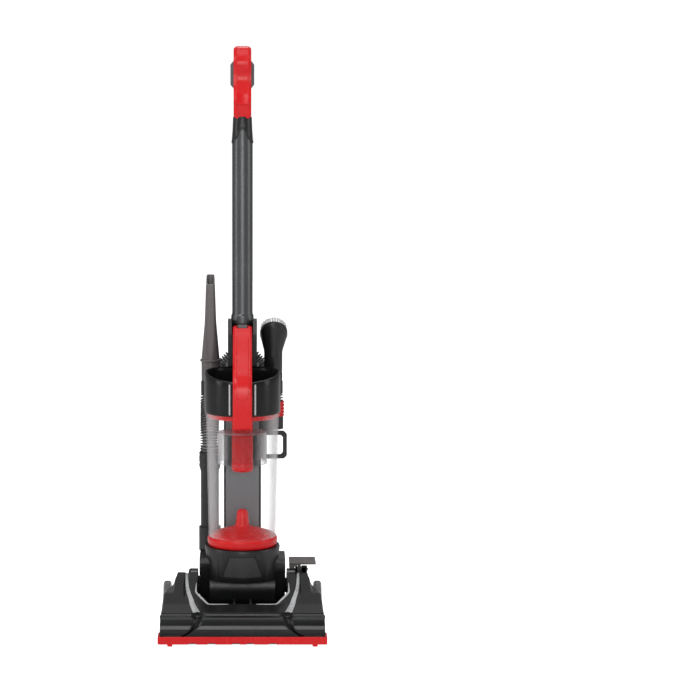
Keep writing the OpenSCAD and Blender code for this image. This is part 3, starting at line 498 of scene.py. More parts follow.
# floor head; heights, outer and inner pair Y values with the measure there
hood = {
    "frontRows": (11, 56, 0.9),      # the front face's rows: lowest height, highest, step
    "frontPoints": 10,               # how many points of heights belong to the front face
    "rows": [-126.9, -126.5, -126, -125.3, -124, -121, -117, -112, -106, -100, -94, -88, -82, -78, -75,
             -70, -64, -58, -52, -46, -40, -34, -28, -24, -20, -14, -8, 0, 8, 16, 24, 32, 40, 47, 53, 56,
             60, 64, 67, 70, 73, 77, 82, 85, 88, 92, 97, 102, 107, 111, 114, 117, 120, 123, 126, 129, 131,
             132],
    "heights": ([-147.1, -146.9, -146.4, -145.4, -143.6, -141, -137.2, -132.6, -128.6, -127, -124, -75,
                 -20, 40, 66, 70, 76, 112, 124, 132],
                [11, 17, 24, 31, 37.5, 42.5, 47.2, 51.4, 54.8, 56, 56.2, 60,
                 70, 81.5, 85.6, 86, 85.4, 76, 62, 40]),
    "outer": ([-147.1, -144, -136, -127, -75, -20, 0, 25, 50, 70, 132],
              [148.8, 148.7, 147.8, 147, 147, 146, 144, 137, 131.5, 130, 128]),
    "inner": ([-75, -70, -24, -19, 132], [61, 63.2, 83.4, 84.6, 84.6]),
    "pivot": (85, 58, 32),           # Y, Z and radius of the round hump
    "humpEdge": (101.5, 104.5),      # X between which the hump ends
    "valley": (105, 3.2, 3.4),       # X, half width and depth
    "valleyStart": (-70, 10),
    "shelf": (126, 7, 69, 5),        # greatest X, distance from the edge, Z, width of its slope
    "softEdge": (4, 2.4),            # width and drop
    "edgeStart": (-130, -100),
    "ridge": (-127, 1.6, 0.9),       # Y, half width and height
    "channel": (52.6, 1.5, 2.2),     # Z, half width and depth
    "channelEnd": (-128.4, -127.4),
    "groove": {"x": 81, "swing": 24, "top": 56, "height": 36.5, "power": 2.8, "depth": 4.4,
               "half": 2, "widen": 4.4, "widenFrom": 26, "widenOver": 30, "end": (-128.5, -126.5)},
    "panelLine": (19.6, 1.1, 1.5),   # Z, half width and depth
    "panelEnds": (101, 106, 141, 145),
    "rim": {"front": 8, "rear": 16, "rise": (112, 132), "recess": 11, "legWall": 5, "legFrom": -20},
    "recessY": -75, "recessX": 61,
    "pedalOpening": (105, 125, 86, 50),      # least and greatest X, least Y, least Z
    "columns": 150, "middleColumns": 60, "wall": 2.4,
}
# the front face is cut into rows of equal height
frontZ = np.arange(*hood["frontRows"])
frontY, frontHeights = hood["heights"][0][:hood["frontPoints"]], hood["heights"][1][:hood["frontPoints"]]
hood["rows"] = np.concatenate([np.interp(frontZ, frontHeights, frontY), hood["rows"]])


def hoodHeight(x, y):
    # a steep front up to the ridge, a gentle rise to the humps, a round hump over the pivot, a valley
    # between the humps of each leg, a low shelf beside the wheels, and an edge that rounds down
    ax = np.abs(x)
    z = np.interp(y, *hood["heights"])
    pivotY, pivotZ, reach = hood["pivot"]
    hump = pivotZ + np.sqrt(np.clip(reach ** 2 - (y - pivotY) ** 2, 0, None))
    onHump = (1 - smoothStep(ax, *hood["humpEdge"])) * (np.abs(y - pivotY) < reach)
    z = z + np.clip(hump - z, 0, None) * onHump
    valleyX, valleyHalf, valleyDepth = hood["valley"]
    z = z - valleyDepth * bell(ax, valleyX, valleyHalf) * smoothStep(y, *hood["valleyStart"])
    edge = np.interp(y, *hood["outer"])
    shelfX, shelfIn, shelfZ, shelfSlope = hood["shelf"]
    shelf = np.minimum(edge - shelfIn, shelfX)
    z = z - np.clip(z - shelfZ, 0, None) * smoothStep(ax, shelf, shelf + shelfSlope)
    edgeWidth, edgeDrop = hood["softEdge"]
    z = z - edgeDrop * smoothStep(ax, edge - edgeWidth, edge) ** 2 * smoothStep(y, *hood["edgeStart"])
    ridgeY, ridgeHalf, ridgeHeight = hood["ridge"]
    return z + ridgeHeight * bell(y, ridgeY, ridgeHalf)


def underRidge(y, z):
    # a narrow channel along the front face, just under the ridge
    channelZ, channelHalf, channelDepth = hood["channel"]
    return channelDepth * bell(z, channelZ, channelHalf) * (1 - smoothStep(y, *hood["channelEnd"]))


def cornerGroove(x, y, z):
    # a groove sets off the corner panel of the front face. Its X grows as a power of the distance below
    # the top, and it is wider higher up; a straight line runs along the panel's foot
    groove = hood["groove"]
    below = np.clip((groove["top"] - z) / groove["height"], 0, 1.2)
    grooveX = groove["x"] + groove["swing"] * below ** groove["power"]
    half = groove["half"] + groove["widen"] * np.clip((z - groove["widenFrom"]) / groove["widenOver"], 0, 1)
    pushed = groove["depth"] * bell(x, grooveX, half) * (1 - smoothStep(y, *groove["end"]))
    lineZ, lineHalf, lineDepth = hood["panelLine"]
    startLow, startHigh, endLow, endHigh = hood["panelEnds"]
    along = smoothStep(x, startLow, startHigh) * (1 - smoothStep(x, endLow, endHigh))
    return pushed + lineDepth * bell(z, lineZ, lineHalf) * along


def hoodSheet(x, y, pushed):
    # a grid point moves back by pushed, and down by half of it
    return np.stack([x, y + pushed, hoodHeight(x, y) - 0.5 * pushed], -1)


def wallsAdded(sheet, frontFoot, rearFoot):
    # a row below the first one and a row below the last one, which make the front and the rear wall
    frontWall, rearWall = sheet[:1].copy(), sheet[-1:].copy()
    frontWall[..., 2], rearWall[..., 2] = frontFoot, rearFoot
    return np.concatenate([frontWall, sheet, rearWall])


def hoodSide(side):
    # columns run from the inner edge to the outer edge; rows run from the front to the back
    rows, rim = hood["rows"], hood["rim"]
    t = np.linspace(0, 1, hood["columns"])
    inner = np.interp(rows, *hood["inner"])[:, None]
    outer = np.interp(rows, *hood["outer"])[:, None]
    x, y = inner + (outer - inner) * t, np.broadcast_to(rows[:, None], (len(rows), len(t)))
    z = hoodHeight(x, y)
    top = hoodSheet(x, y, cornerGroove(x, y, z) + underRidge(y, z))
    low = rim["front"] + (rim["rear"] - rim["front"]) * smoothStep(rows, *rim["rise"])
    innerFoot = np.where(rows < rim["legFrom"], rim["recess"], z[:, 0] - rim["legWall"])
    insideWall = np.stack([top[:, 0, 0], top[:, 0, 1], innerFoot], -1)[:, None]
    outsideWall = np.stack([top[:, -1, 0], top[:, -1, 1], low], -1)[:, None]
    sheet = wallsAdded(np.concatenate([insideWall, top, outsideWall], 1), rim["front"], rim["rear"])
    faces = gridFaces(sheet.shape[0], sheet.shape[1])
    # beside the recess the nose goes on, so no inside wall stands there
    row, column = faces[:, 0] // sheet.shape[1], faces[:, 0] % sheet.shape[1]
    rowY = np.concatenate([rows[:1] - 1, rows, rows[-1:] + 1])
    wanted = (column > 0) | ((rowY[row] >= hood["recessY"]) & (row < len(rows)))
    if side > 0:    # the pedal's side has an opening
        centre = sheet.reshape(-1, 3)[faces].mean(1)
        leastX, mostX, leastY, leastZ = hood["pedalOpening"]
        wanted &= ~((centre[:, 0] > leastX) & (centre[:, 0] < mostX)
                    & (centre[:, 1] > leastY) & (centre[:, 2] > leastZ))
    sheet[..., 0] *= side
    return sheet, faces[wanted]


def hoodMiddle():
    # the nose between the legs, with its front wall and its back wall
    rows = hood["rows"][hood["rows"] <= hood["recessY"]]
    x = np.linspace(-hood["recessX"], hood["recessX"], hood["middleColumns"])
    x, y = np.meshgrid(x, rows)
    sheet = hoodSheet(x, y, underRidge(y, hoodHeight(x, y)))
    sheet = wallsAdded(sheet, hood["rim"]["front"], hood["rim"]["recess"])
    return sheet, gridFaces(sheet.shape[0], sheet.shape[1])


finishPiece("floorHood", joinShapes([hoodMiddle(), hoodSide(1), hoodSide(-1)]), "black_gloss", "foot",
            stands=["foot_hood"], smooth=38, wall=hood["wall"])

# pale strips that are painted highlights of the hood's glossy chamfers: one along the groove on the deck, one
# along the recess edge
highlightLines = {
    "stripe": [[83, -123], [86.5, -104], [90.5, -82], [94.5, -55], [99.5, -25], [103, 5], [105, 40],
               [106, 76]],
    "stripeHalf": ([0, 0.3, 0.6, 1], [6.4, 4.6, 3.0, 2.2]),
    "edge": [[25, -76.6], [44, -76.6], [58, -76.4], [63, -74.5], [67, -67], [75, -49], [83, -31], [86, -22],
             [86.6, -8], [86.6, 18]],
    "edgeHalf": ([0, 0.05, 0.3, 0.5, 0.75, 1], [0.2, 1.1, 1.7, 2.3, 1.7, 0.5]),
    "lift": 0.55, "spacing": 3, "frontLimit": -146,
}


def ribbonShape(line, halves, side):
    # a flat strip along a line in plan, lying on the hood as a painted highlight: six points across, the
    # outer two sunk under it
    path = smoothPath(line, highlightLines["spacing"])
    heading = np.gradient(path, axis=0)
    heading /= np.linalg.norm(heading, axis=1, keepdims=True)
    left = np.stack([-heading[:, 1], heading[:, 0]], -1)
    half = np.interp(np.linspace(0, 1, len(path)), *halves)[:, None]
    offsets = np.array([-1, -0.86, 0.86, 1, 1, -1])
    plan = path[:, None] + left[:, None] * half[:, None] * offsets[None, :, None]
    lift = np.array([0, 1, 1, 0, -1, -1]) * highlightLines["lift"]
    z = hoodHeight(plan[..., 0], np.maximum(plan[..., 1], highlightLines["frontLimit"])) + lift
    points = np.concatenate([plan, z[..., None]], -1)
    points[..., 0] *= side
    return points, tubeFaces(len(path), len(offsets))


ribbons = [ribbonShape(highlightLines[line], highlightLines[line + "Half"], side)
           for line in ("stripe", "edge") for side in (1, -1)]
finishPiece("hoodHighlightStripes", joinShapes(ribbons), "silver_trim", "foot", stands=["hood_trims"], smooth=40)

wheelSpec = {
    "treads": 36, "treadDepth": 0.8, "round": 2.2, "shoulder": 3, "gapUnderTyre": 0.4, "steps": 144,
    "discSteps": 72, "hub": 3.6, "disc": 25.9, "dish": (23, 21, 9, 8), "dishDepth": (2.6, 3, 1.2),
}


def tyreShape(radius, half, centre):
    # a rounded profile turned about X, whose tread drops by treadDepth between the blocks
    low, high, soft = radius - wheelSpec["shoulder"], radius - wheelSpec["gapUnderTyre"], wheelSpec["round"]
    profile = softCorners([[low, -half], [high, -half], [high, half], [low, half]], [0.2, soft, soft, 0.2])
    steps = wheelSpec["steps"]
    points, faces = turnedShape(profile, (0, 0, 0), steps, "x")
    angle = np.arange(steps)[:, None] * 2 * np.pi / steps
    tread = 1 - wheelSpec["treadDepth"] / radius * (np.cos(angle * wheelSpec["treads"]) > 0.3)
    grow = np.where(profile[:, 0] > radius - 1.2, tread, 1.0)[..., None]
    return points * np.concatenate([np.ones_like(grow), grow, grow], -1) + centre, faces


def discShape(back, face, side, centre):
    # a disc with a dish between its rim and its hub; the dish is cut from the outer face
    hub, rim = wheelSpec["hub"], wheelSpec["disc"]
    dish, (first, second, third) = wheelSpec["dish"], wheelSpec["dishDepth"]
    profile = [[hub, back], [rim, back], [rim, face], [dish[0], face], [dish[1], face - side * first],
               [dish[2], face - side * second], [dish[3], face - side * third], [hub, face - side * third]]
    return turnedShape(softCorners(profile, 0.9, 4), (0, centre[1], centre[2]), wheelSpec["discSteps"], "x")


for side, sideName in ((-1, "left"), (1, "right")):
    wheelBody = "wheel_" + sideName[0]
    tyreLow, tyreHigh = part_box("tyre_" + sideName)
    centre = (np.array(tyreLow) + np.array(tyreHigh)) * 500
    centre[1] -= backShift
    finishPiece("tyreTread." + sideName, tyreShape(centre[2], (tyreHigh.x - tyreLow.x) * 500, centre),
                "tyre", wheelBody, stands=["tyre_" + sideName])
    discLow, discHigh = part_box("wheel_" + sideName)
    back, face = sorted((discLow.x * 1000, discHigh.x * 1000), key=abs)
    finishPiece("wheelDisc." + sideName, discShape(back, face, side, centre), "wheel_grey", wheelBody,
                stands=["wheel_" + sideName])

# foot pedal with a skirt at its inner end, on a black bracket with two cheeks; low and high run across
pedal = {
    # name: outline, low, high, axis
    "lever": ([[93, 86], [98, 81], [103, 86], [112, 96], [112, 98], [93, 98]], 106, 112, "x"),
    "plate": ([[90, 96.4], [100, 95.6], [142, 96], [142, 101], [90, 101]], 89.6, 140.6, "x"),
    "skirt": ([[90.4, 99.6], [90.4, 82], [98, 82], [108, 94.6], [138, 97], [138, 99.6]], 117, 141, "y"),
    "lip": ([[90.4, 99.6], [90.4, 91], [99, 91], [107, 95.4], [107, 99.6]], 90.8, 118, "y"),
}
cheekLine = [[88, 60], [104, 60], [104, 90], [100, 93.4], [88, 93.4]]
bracket = {
    "web": ([[88, 55], [91.6, 55], [91.6, 93.4], [88, 93.4]], 101.5, 121.5, "x"),
    "innerCheek": (cheekLine, 101.5, 104.8, "x"),
    "outerCheek": (cheekLine, 113.4, 121.5, "x"),
}


def platesOf(spec):
    # all plates of a dictionary as one shape, their outlines rounded
    return joinShapes([plateShape(softCorners(line, 1.3, 4), low, high, along)
                       for line, low, high, along in spec.values()])


finishPiece("pedalPlate", platesOf(pedal), "warm_grey", "pedal", stands=["recline_pedal"], bevel=0.7)
finishPiece("pedalBracket", platesOf(bracket), "black_satin", "foot", bevel=0.5)
print("floor head")


def tuftShape(roots, tips, rootRadius, tipRadius, sides=5):
    # one slim cone per bristle, all as arrays: a ring at the root, a ring at the tip
    axis = (tips - roots) / np.linalg.norm(tips - roots, axis=1, keepdims=True)
    helper = np.where(np.abs(axis[:, :1]) > 0.8, [[0.0, 1.0, 0.0]], [[1.0, 0.0, 0.0]])
    u = np.cross(axis, helper)
    u /= np.linalg.norm(u, axis=1, keepdims=True)
    v = np.cross(axis, u)
    angle = np.linspace(0, 2 * np.pi, sides, endpoint=False)
    ring = np.cos(angle)[:, None] * u[:, None] + np.sin(angle)[:, None] * v[:, None]
    points = np.stack([roots[:, None] + rootRadius * ring, tips[:, None] + tipRadius * ring], 1)
    start = (np.arange(len(roots)) * 2 * sides)[:, None, None]
    walls = (gridFaces(2, sides, False, True)[None] + start).reshape(-1, 4).tolist()
    tipEnds = np.arange(sides)[None] + start[:, 0] + sides
    return points, walls + tipEnds.tolist() + (tipEnds - sides).tolist()


bristles = {
    "seed": 7,
    "roll": {"tufts": 22, "each": 16, "spread": 2.1, "start": -106, "step": 9.8, "turn": 14, "root": 13,
             "length": 9.3, "reach": 22.3, "thick": (0.32, 0.22)},
    "head": {"tufts": 30, "each": 22, "spread": [1.5, 1.5, 0.6], "ring": (22, 31), "root": 11, "length": 11,
             "flare": 1.2, "thick": (0.34, 0.3)},
    "atRoot": 0.8, "atRollTip": 1.1, "atHeadTip": 1.35,      # shares of the spread
}
chance = np.random.default_rng(bristles["seed"])

# two rows that wind round the roll, each tuft a bundle of slim bristles
rollLow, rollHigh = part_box("brush_roll")
rollMiddle = np.array([0, (rollLow.y + rollHigh.y) * 500 - backShift, (rollLow.z + rollHigh.z) * 500])
rollSpec = bristles["roll"]
place = np.tile(np.arange(rollSpec["tufts"]), 2)
turn = np.radians(np.repeat([0, 180], rollSpec["tufts"]) + rollSpec["turn"] * place)
along = rollSpec["start"] + rollSpec["step"] * place
outward = np.stack([0 * turn, -np.sin(turn), np.cos(turn)], -1)
root = np.stack([along, 0 * turn, 0 * turn], -1) + rollSpec["root"] * outward
jitter = chance.uniform(-1, 1, (len(root), rollSpec["each"], 3)) * rollSpec["spread"]
roots = (root[:, None] + jitter * bristles["atRoot"]).reshape(-1, 3)
tips = root[:, None] + outward[:, None] * rollSpec["length"] + jitter * bristles["atRollTip"]
tips = tips.reshape(-1, 3)
lengths = np.linalg.norm(tips[:, 1:], axis=1, keepdims=True)
tips[:, 1:] *= np.minimum(1, rollSpec["reach"] / lengths)
finishPiece("rollTufts", tuftShape(roots + rollMiddle, tips + rollMiddle, *rollSpec["thick"], 4),
            "black_bristle", "roller", stands=["roll_bristles"])

dusting = {
    "centre": (60, 135, 531), "lean": 38, "socket": (59, 131),
    # radius and height of the socket's rings, from its inside out and up
    "socketRings": [(15.2, 470), (15.2, 446.4), (16.8, 446), (17.5, 447), (17.5, 462), (16.9, 462.6),
                    (16.9, 464.4), (17.5, 465), (17.5, 500)],
    "neckTop": (17.5, 503), "neckRows": 7,
    # half widths in X and Y, and height in the head's own plane: the neck's end, the rim, the hollow
    "headRings": [(25.4, 34.6, 1.0), (25.9, 35.4, 2.5), (26.4, 36, 4), (26.4, 36, 10.5), (25.8, 35.4, 11.6),
                  (25, 34.6, 12), (19.2, 27, 12), (18, 25.6, 11.2), (17.5, 25, 8), (14, 18, -2), (8, 9, -7),
                  (0.01, 0.01, -8)],
}
lean = math.radians(dusting["lean"])


def onHead(flat):
    # turns points of the brush head's own plane, leaning back about X, and puts them at its place
    flat = np.asarray(flat, float)
    x, y, z = flat[..., 0], flat[..., 1], flat[..., 2]
    c, s = math.cos(lean), math.sin(lean)
    return np.stack([x, y * c + z * s, z * c - y * s], -1) + np.array(dusting["centre"])


ringSteps = 64
steps = np.linspace(0, 2 * np.pi, ringSteps, endpoint=False)
circle = np.stack([np.cos(steps), np.sin(steps), 0 * steps], -1)


def oval(halfX, halfY, z):
    # an ellipse in the head's own plane
    return onHead(circle * [halfX, halfY, 0] + [0, 0, z])


def level(radius, z):
    # a level circle round the socket's axis
    return circle * radius + [*dusting["socket"], z]


# the neck's rings pass from the socket's circle to the head's leaning oval
rings = [level(*ring) for ring in dusting["socketRings"]]
headRings = [oval(*ring) for ring in dusting["headRings"]]
share = smoothStep(np.linspace(0.12, 0.96, dusting["neckRows"]), 0, 1)[:, None, None]
rings += list(level(*dusting["neckTop"]) * (1 - share) + headRings[0] * share) + headRings[1:]
headFaces = gridFaces(len(rings), ringSteps, False, True).tolist() + [list(range(ringSteps))]
finishPiece("dustingHead", (np.stack(rings), headFaces), "black_satin", "dust_brush", stands=["brush_pipe"],
            smooth=50)

headSpec = bristles["head"]
spot = np.arange(headSpec["tufts"]) * 2 * np.pi / headSpec["tufts"]
ringX, ringY = headSpec["ring"]
base = np.stack([ringX * np.cos(spot), ringY * np.sin(spot), 0 * spot + headSpec["root"]], -1)
jitter = chance.uniform(-1, 1, (len(base), headSpec["each"], 3)) * headSpec["spread"]
flare = np.stack([np.cos(spot), np.sin(spot), 0 * spot], -1)[:, None] * headSpec["flare"]
roots = onHead((base[:, None] + jitter * bristles["atRoot"]).reshape(-1, 3))
tips = base[:, None] + jitter * bristles["atHeadTip"] + flare + [0, 0, headSpec["length"]]
tips = onHead(tips.reshape(-1, 3))
finishPiece("dustingTufts", tuftShape(roots, tips, *headSpec["thick"]), "white_bristle", "dust_brush",
            stands=["brush_tufts"])
print("brushes")


crevice = {
    "centre": (-61, 130),
    # height and half width of the round part's rings; the collar's heights count from "collar"
    "socketRings": [(475, 15), (446.4, 15.2), (446, 16.8), (447, 17.5), (478, 17.5)],
    "collar": 484, "collarRings": [(-0.6, 17.5), (0, 19.6), (0.6, 20), (3.4, 20), (4, 19.6), (4.6, 17.4)],
    # low and high end of the taper and of the blade: height, half X, half Y, power
    "taper": ((489, 17.4, 17.4, 2), (560, 11, 16, 5)), "taperRows": 8,
    "blade": ((560, 11, 16, 5), (655, 7.6, 15, 7)), "bladeRows": 7,
    "mouth": (7.6, 15, 7), "inside": (6, 13.4, 7), "deep": (590, 6.4, 13, 6),
    "slant": 30, "slantAt": (115, 632),      # degrees; the Y at which the cut has this height
}


def bladeRing(height, halfX, halfY, power):
    # a rounded rectangle: a superellipse whose power rises from 2, a circle, towards a square one
    c, s = np.cos(steps), np.sin(steps)
    ring = np.stack([halfX * np.sign(c) * np.abs(c) ** (2 / power),
                     halfY * np.sign(s) * np.abs(s) ** (2 / power), 0 * steps + height], -1)
    return ring + [*crevice["centre"], 0]


def cutRing(halfX, halfY, power, above=0.0):
    # the same ring on the slanted plane of the cut
    ring = bladeRing(0, halfX, halfY, power)
    cutY, cutZ = crevice["slantAt"]
    ring[:, 2] = cutZ + (ring[:, 1] - cutY) * math.tan(math.radians(crevice["slant"])) + above
    return ring


def between(ends, shares):
    # rings whose measures lie between those of the two ends
    low, high = np.array(ends[0], float), np.array(ends[1], float)
    return [bladeRing(*(low + (high - low) * k)) for k in shares]


rings = [bladeRing(height, half, half, 2) for height, half in crevice["socketRings"]]
rings += [bladeRing(crevice["collar"] + rise, half, half, 2) for rise, half in crevice["collarRings"]]
upward = np.linspace(0, 1, crevice["taperRows"] + 1)[1:]
rings += between(crevice["taper"], smoothStep(upward, -0.2, 1.05))
rings += between(crevice["blade"], np.linspace(0, 1, crevice["bladeRows"] + 1)[1:-1])
# every ring stays 2 mm below the cut
mouth = cutRing(*crevice["mouth"], 0.2)
rings = [np.minimum(ring, np.concatenate([ring[:, :2], mouth[:, 2:] - 2], 1)) for ring in rings]
rings += [mouth - [0, 0, 1.2], mouth, cutRing(*crevice["inside"]), bladeRing(*crevice["deep"])]
finishPiece("creviceBlade", (np.stack(rings), tubeFaces(len(rings), ringSteps)), "warm_grey", "crevice",
            stands=["crevice_tool"], smooth=45)
print("crevice tool")


hoseSpec = {
    "route": [[-63, 138, 307], [-63, 138, 322], [-63, 142, 342], [-63, 150, 364], [-63, 160, 386],
              [-63, 168, 408], [-60, 172, 430], [-52, 172, 447], [-40, 172, 462], [-27, 172, 476],
              [-14, 172, 488], [0, 172, 494], [14, 172, 488], [27, 172, 476], [40, 172, 462],
              [51, 172, 447], [58, 172, 432], [60, 171, 417], [60.5, 170, 402]],
    "pitch": 5.0, "radius": 18.4, "groove": 4.4, "rings": 8, "sides": 28, "bendFrom": 404, "bendTo": 307,
}
wandPlace = [-63, 138]


def hoseFinish(name):
    # black coil and a pale grey film between its turns, told apart by the rib height kept on the mesh
    material, flow, place = newFinish(name)
    height = flow.node("ShaderNodeAttribute", {"attribute_name": "ridge"}, out="Fac")
    coil = height.step(0.25, 0.6)
    cloud = noise(flow, place, 30, 3)
    film = cloud.blendColour((0.3, 0.3, 0.31, 1), (0.42, 0.42, 0.43, 1))
    black = cloud.blendColour((0.012, 0.0125, 0.013, 1), (0.02, 0.0205, 0.021, 1))
    grain = noise(flow, place, 1400, 2)
    bump = flow.node("ShaderNodeBump", {}, {"Height": grain, "Strength": 0.2, "Distance": 0.0002})
    tone = flow.node("ShaderNodeMix", {"data_type": "RGBA"}, {0: coil, 6: film, 7: black}, out=2)
    surface(flow, {"Base Color": tone, "Roughness": 0.36 + (cloud - 0.5) * 0.12, "Normal": bump})
    return material


# the radius drops by groove between the turns of the coil
hosePath = smoothPath(hoseSpec["route"], hoseSpec["pitch"] / hoseSpec["rings"])
phase = np.arange(len(hosePath)) / hoseSpec["rings"] % 1.0
ridge = smoothStep(phase, 0.0, 0.14) * (1 - smoothStep(phase, 0.5, 0.64))
hosePoints, hoseFaces = sweptShape(hosePath, hoseSpec["radius"] - hoseSpec["groove"] * (1 - ridge),
                                   hoseSpec["sides"])
hoseMesh = bpy.data.meshes.new("ribbedHose")
hoseMesh.from_pydata(toFrame(hosePoints).tolist(), [], hoseFaces)
ribbed = hoseMesh.attributes.new("ridge", "FLOAT", "POINT")
ribbed.data.foreach_set("value", np.repeat(ridge, hoseSpec["sides"]).astype(np.float32))
tidyMesh(hoseMesh)
hoseMesh.materials.append(hoseFinish("hose_film"))
hoseMesh.shade_smooth()
hoseMesh.set_sharp_from_angle(angle=math.radians(60))
ribbedHose = bpy.data.objects.new("ribbedHose", hoseMesh)
scene.collection.objects.link(ribbedHose)
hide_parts("hose")
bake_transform(ribbedHose)
print("hose, %.0f mm" % (np.linalg.norm(np.diff(hosePath, axis=0), axis=1).sum()))


def ribbedSleeve(low, high, outer, inner, ribs, depth, edge=1.2):
    # a sleeve whose outer wall carries rings: the radius drops by depth between them
    z = np.linspace(low + edge, high - edge, ribs * 10 + 1)
    wave = np.clip(0.5 + 1.4 * np.cos((z - z[0]) / (z[-1] - z[0]) * 2 * np.pi * ribs), 0, 1)
    wallLine = np.stack([outer - depth * (1 - wave), z], -1)
    ends = [[inner, low], [outer - edge, low]], [[outer - edge, high], [inner, high]]
    return np.vstack([ends[0], wallLine, ends[1]])


cuff = {"low": 373, "high": 402, "outer": 21, "inner": 15.5, "ribs": 4, "depth": 1.6, "place": (60.5, 170, 0)}
cuffProfile = ribbedSleeve(*[cuff[key] for key in ("low", "high", "outer", "inner", "ribs", "depth")])
finishPiece("hoseCuff", turnedShape(cuffProfile, cuff["place"]), "red_gloss", "upright", stands=["hose_cuff"],
            smooth=50)
wandProfile = softCorners([[15.5, 122], [17.5, 122], [17.5, 270], [20.5, 280], [20.5, 284], [19.9, 285],
                           [19.9, 288], [20.5, 289], [20.5, 300], [19.9, 301], [19.9, 303], [20.5, 304],
                           [20.5, 307], [15.5, 307]], 0.8, 4)
finishPiece("wandTube", turnedShape(wandProfile, (*wandPlace, 0)), "black_satin", "hose_wand",
            stands=["wand"], smooth=40)
print("wand and cuff")


# dust bin; its profiles pair a radius with a height
dustBin = {"axis": (0, 60, 0), "rimTop": 475, "lidSlope": 12.7, "slopeFrom": 440, "lidSteps": 288,
           "tubRibs": 90, "ribDepth": 0.016, "tub": (429, 466, 65)}
binAxis = dustBin["axis"]
lidProfile = softCorners([[0.01, 424], [60, 424], [62.2, 414], [64.8, 396], [70.6, 396], [71.4, 399],
                          [71.4, 462], [71.2, 469], [70.2, 473.4], [68.6, 475], [66.8, 475], [65.4, 473.4],
                          [64.8, 468], [63.5, 428], [0.01, 428]],
                         [0, 2, 2, 1, 1, 1, 2, 1.5, 1.2, 0.8, 0.8, 1.2, 2, 1.5, 0], 4)
lidPoints, lidFaces = turnedShape(lidProfile, binAxis, dustBin["lidSteps"], "z", closed=False)
lidAngle = np.arange(dustBin["lidSteps"])[:, None] * 2 * np.pi / dustBin["lidSteps"]
# the rim falls towards the front, in proportion to the height above slopeFrom
rimTop, slopeFrom = dustBin["rimTop"], dustBin["slopeFrom"]
fall = np.clip(binAxis[1] - lidPoints[..., 1], 0, None) * math.tan(math.radians(dustBin["lidSlope"]))
lidPoints[..., 2] -= np.clip((lidPoints[..., 2] - slopeFrom) / (rimTop - slopeFrom), 0, 1) * fall
# fine upright ribs on the tub's wall
tubLow, tubHigh, tubRadius = dustBin["tub"]
inTub = (lidProfile[:, 1] > tubLow) & (lidProfile[:, 1] < tubHigh) & (lidProfile[:, 0] < tubRadius)
rib = 1 - dustBin["ribDepth"] * (np.cos(lidAngle * dustBin["tubRibs"]) > 0.2)
rib = np.where(inTub, rib, 1.0)[..., None]
lidPoints = (lidPoints - binAxis) * np.concatenate([rib, rib, np.ones_like(rib)], -1) + binAxis
finishPiece("lidTub", (lidPoints, lidFaces), "black_gloss", "bin", stands=["bin_lid"], smooth=40)

# silver strips beside the handle's channel on the lid: a painted highlight on the channel's glossy edges
lidHighlight = {"angles": (18.2, 20.6), "heights": (399, 456), "radii": (70.4, 71.9), "steps": 14}


def curvedPanel(side):
    # a piece of tube wall between two angles beside the front, a pale strip painted as the highlight on an
    # edge of the handle's channel
    near, far = lidHighlight["angles"]
    low, high = (-far, -near) if side < 0 else (near, far)
    angle = np.linspace(*np.radians([low - 90, high - 90]), lidHighlight["steps"])[:, None]
    inner, outer = lidHighlight["radii"]
    r = np.array([[inner, outer, outer, inner]])
    z = np.broadcast_to(np.repeat(lidHighlight["heights"], 2).astype(float), (len(angle), 4))
    points = np.stack([binAxis[0] + r * np.cos(angle), binAxis[1] + r * np.sin(angle), z], -1)
    return points, tubeFaces(len(angle), 4)


finishPiece("lidHighlightStrips", joinShapes([curvedPanel(-1), curvedPanel(1)]), "silver_trim", "bin", bevel=0.3)

cupProfile = softCorners([[61.8, 161], [64.6, 161], [64.9, 166], [64.3, 167.5], [68.6, 388], [69.6, 389.5],
                          [69.6, 395.6], [66.8, 395.6], [66.4, 388]], 0.7, 3)
finishPiece("clearCup", turnedShape(cupProfile, binAxis, 128), "clear_plastic", "bin", stands=["bin_cup"],
            smooth=30)
shroudProfile = softCorners([[44.8, 299], [47, 299], [47, 302], [46.5, 303], [46.5, 356], [44, 359],
                             [20.4, 359], [20.4, 357.4], [43.6, 357.4], [44.8, 355]], 0.8, 3)
finishPiece("shroudBell", turnedShape(shroudProfile, binAxis, 96), "clear_plastic", "bin",
            stands=["separator_shroud"], smooth=30, finish="clear_bell")

# red screen: a grid of wall faces with every second one left out, then given a thickness
screen = {"radius": 20, "steps": 80, "rows": 45, "low": 299, "high": 372, "wall": 1.4, "endSteps": 72}
angle = np.linspace(0, 2 * np.pi, screen["steps"], endpoint=False)
z = np.linspace(screen["low"], screen["high"], screen["rows"])
a, h = np.meshgrid(angle, z, indexing="ij")
screenPoints = np.stack([screen["radius"] * np.cos(a), binAxis[1] + screen["radius"] * np.sin(a), h], -1)
screenFaces = gridFaces(screen["steps"], screen["rows"], True)
i, j = screenFaces[:, 0] // screen["rows"], screenFaces[:, 0] % screen["rows"]
screenFaces = screenFaces[~((i % 2 == 0) & (j % 2 == 1))]
finishPiece("screenMesh", (screenPoints, screenFaces), "red_gloss", "bin", stands=["separator_screen"],
            wall=screen["wall"])
footProfile = softCorners([[0.01, 283], [17, 283], [20.4, 286], [20.4, 299.4], [18.4, 299.4], [18.4, 287],
                           [0.01, 287]], 1.2, 4)
linerProfile = [[17.8, 299], [18.2, 299], [18.2, 372], [17.8, 372]]
topProfile = softCorners([[18.4, 371.6], [20.4, 371.6], [20.4, 384], [21.6, 387], [18.4, 387]], 0.5, 3)
screenEnds = [turnedShape(footProfile, binAxis, screen["endSteps"], "z", False),
              turnedShape(linerProfile, binAxis, screen["endSteps"]),
              turnedShape(topProfile, binAxis, screen["endSteps"])]
finishPiece("screenEnds", joinShapes(screenEnds), "red_gloss", "bin", smooth=50)

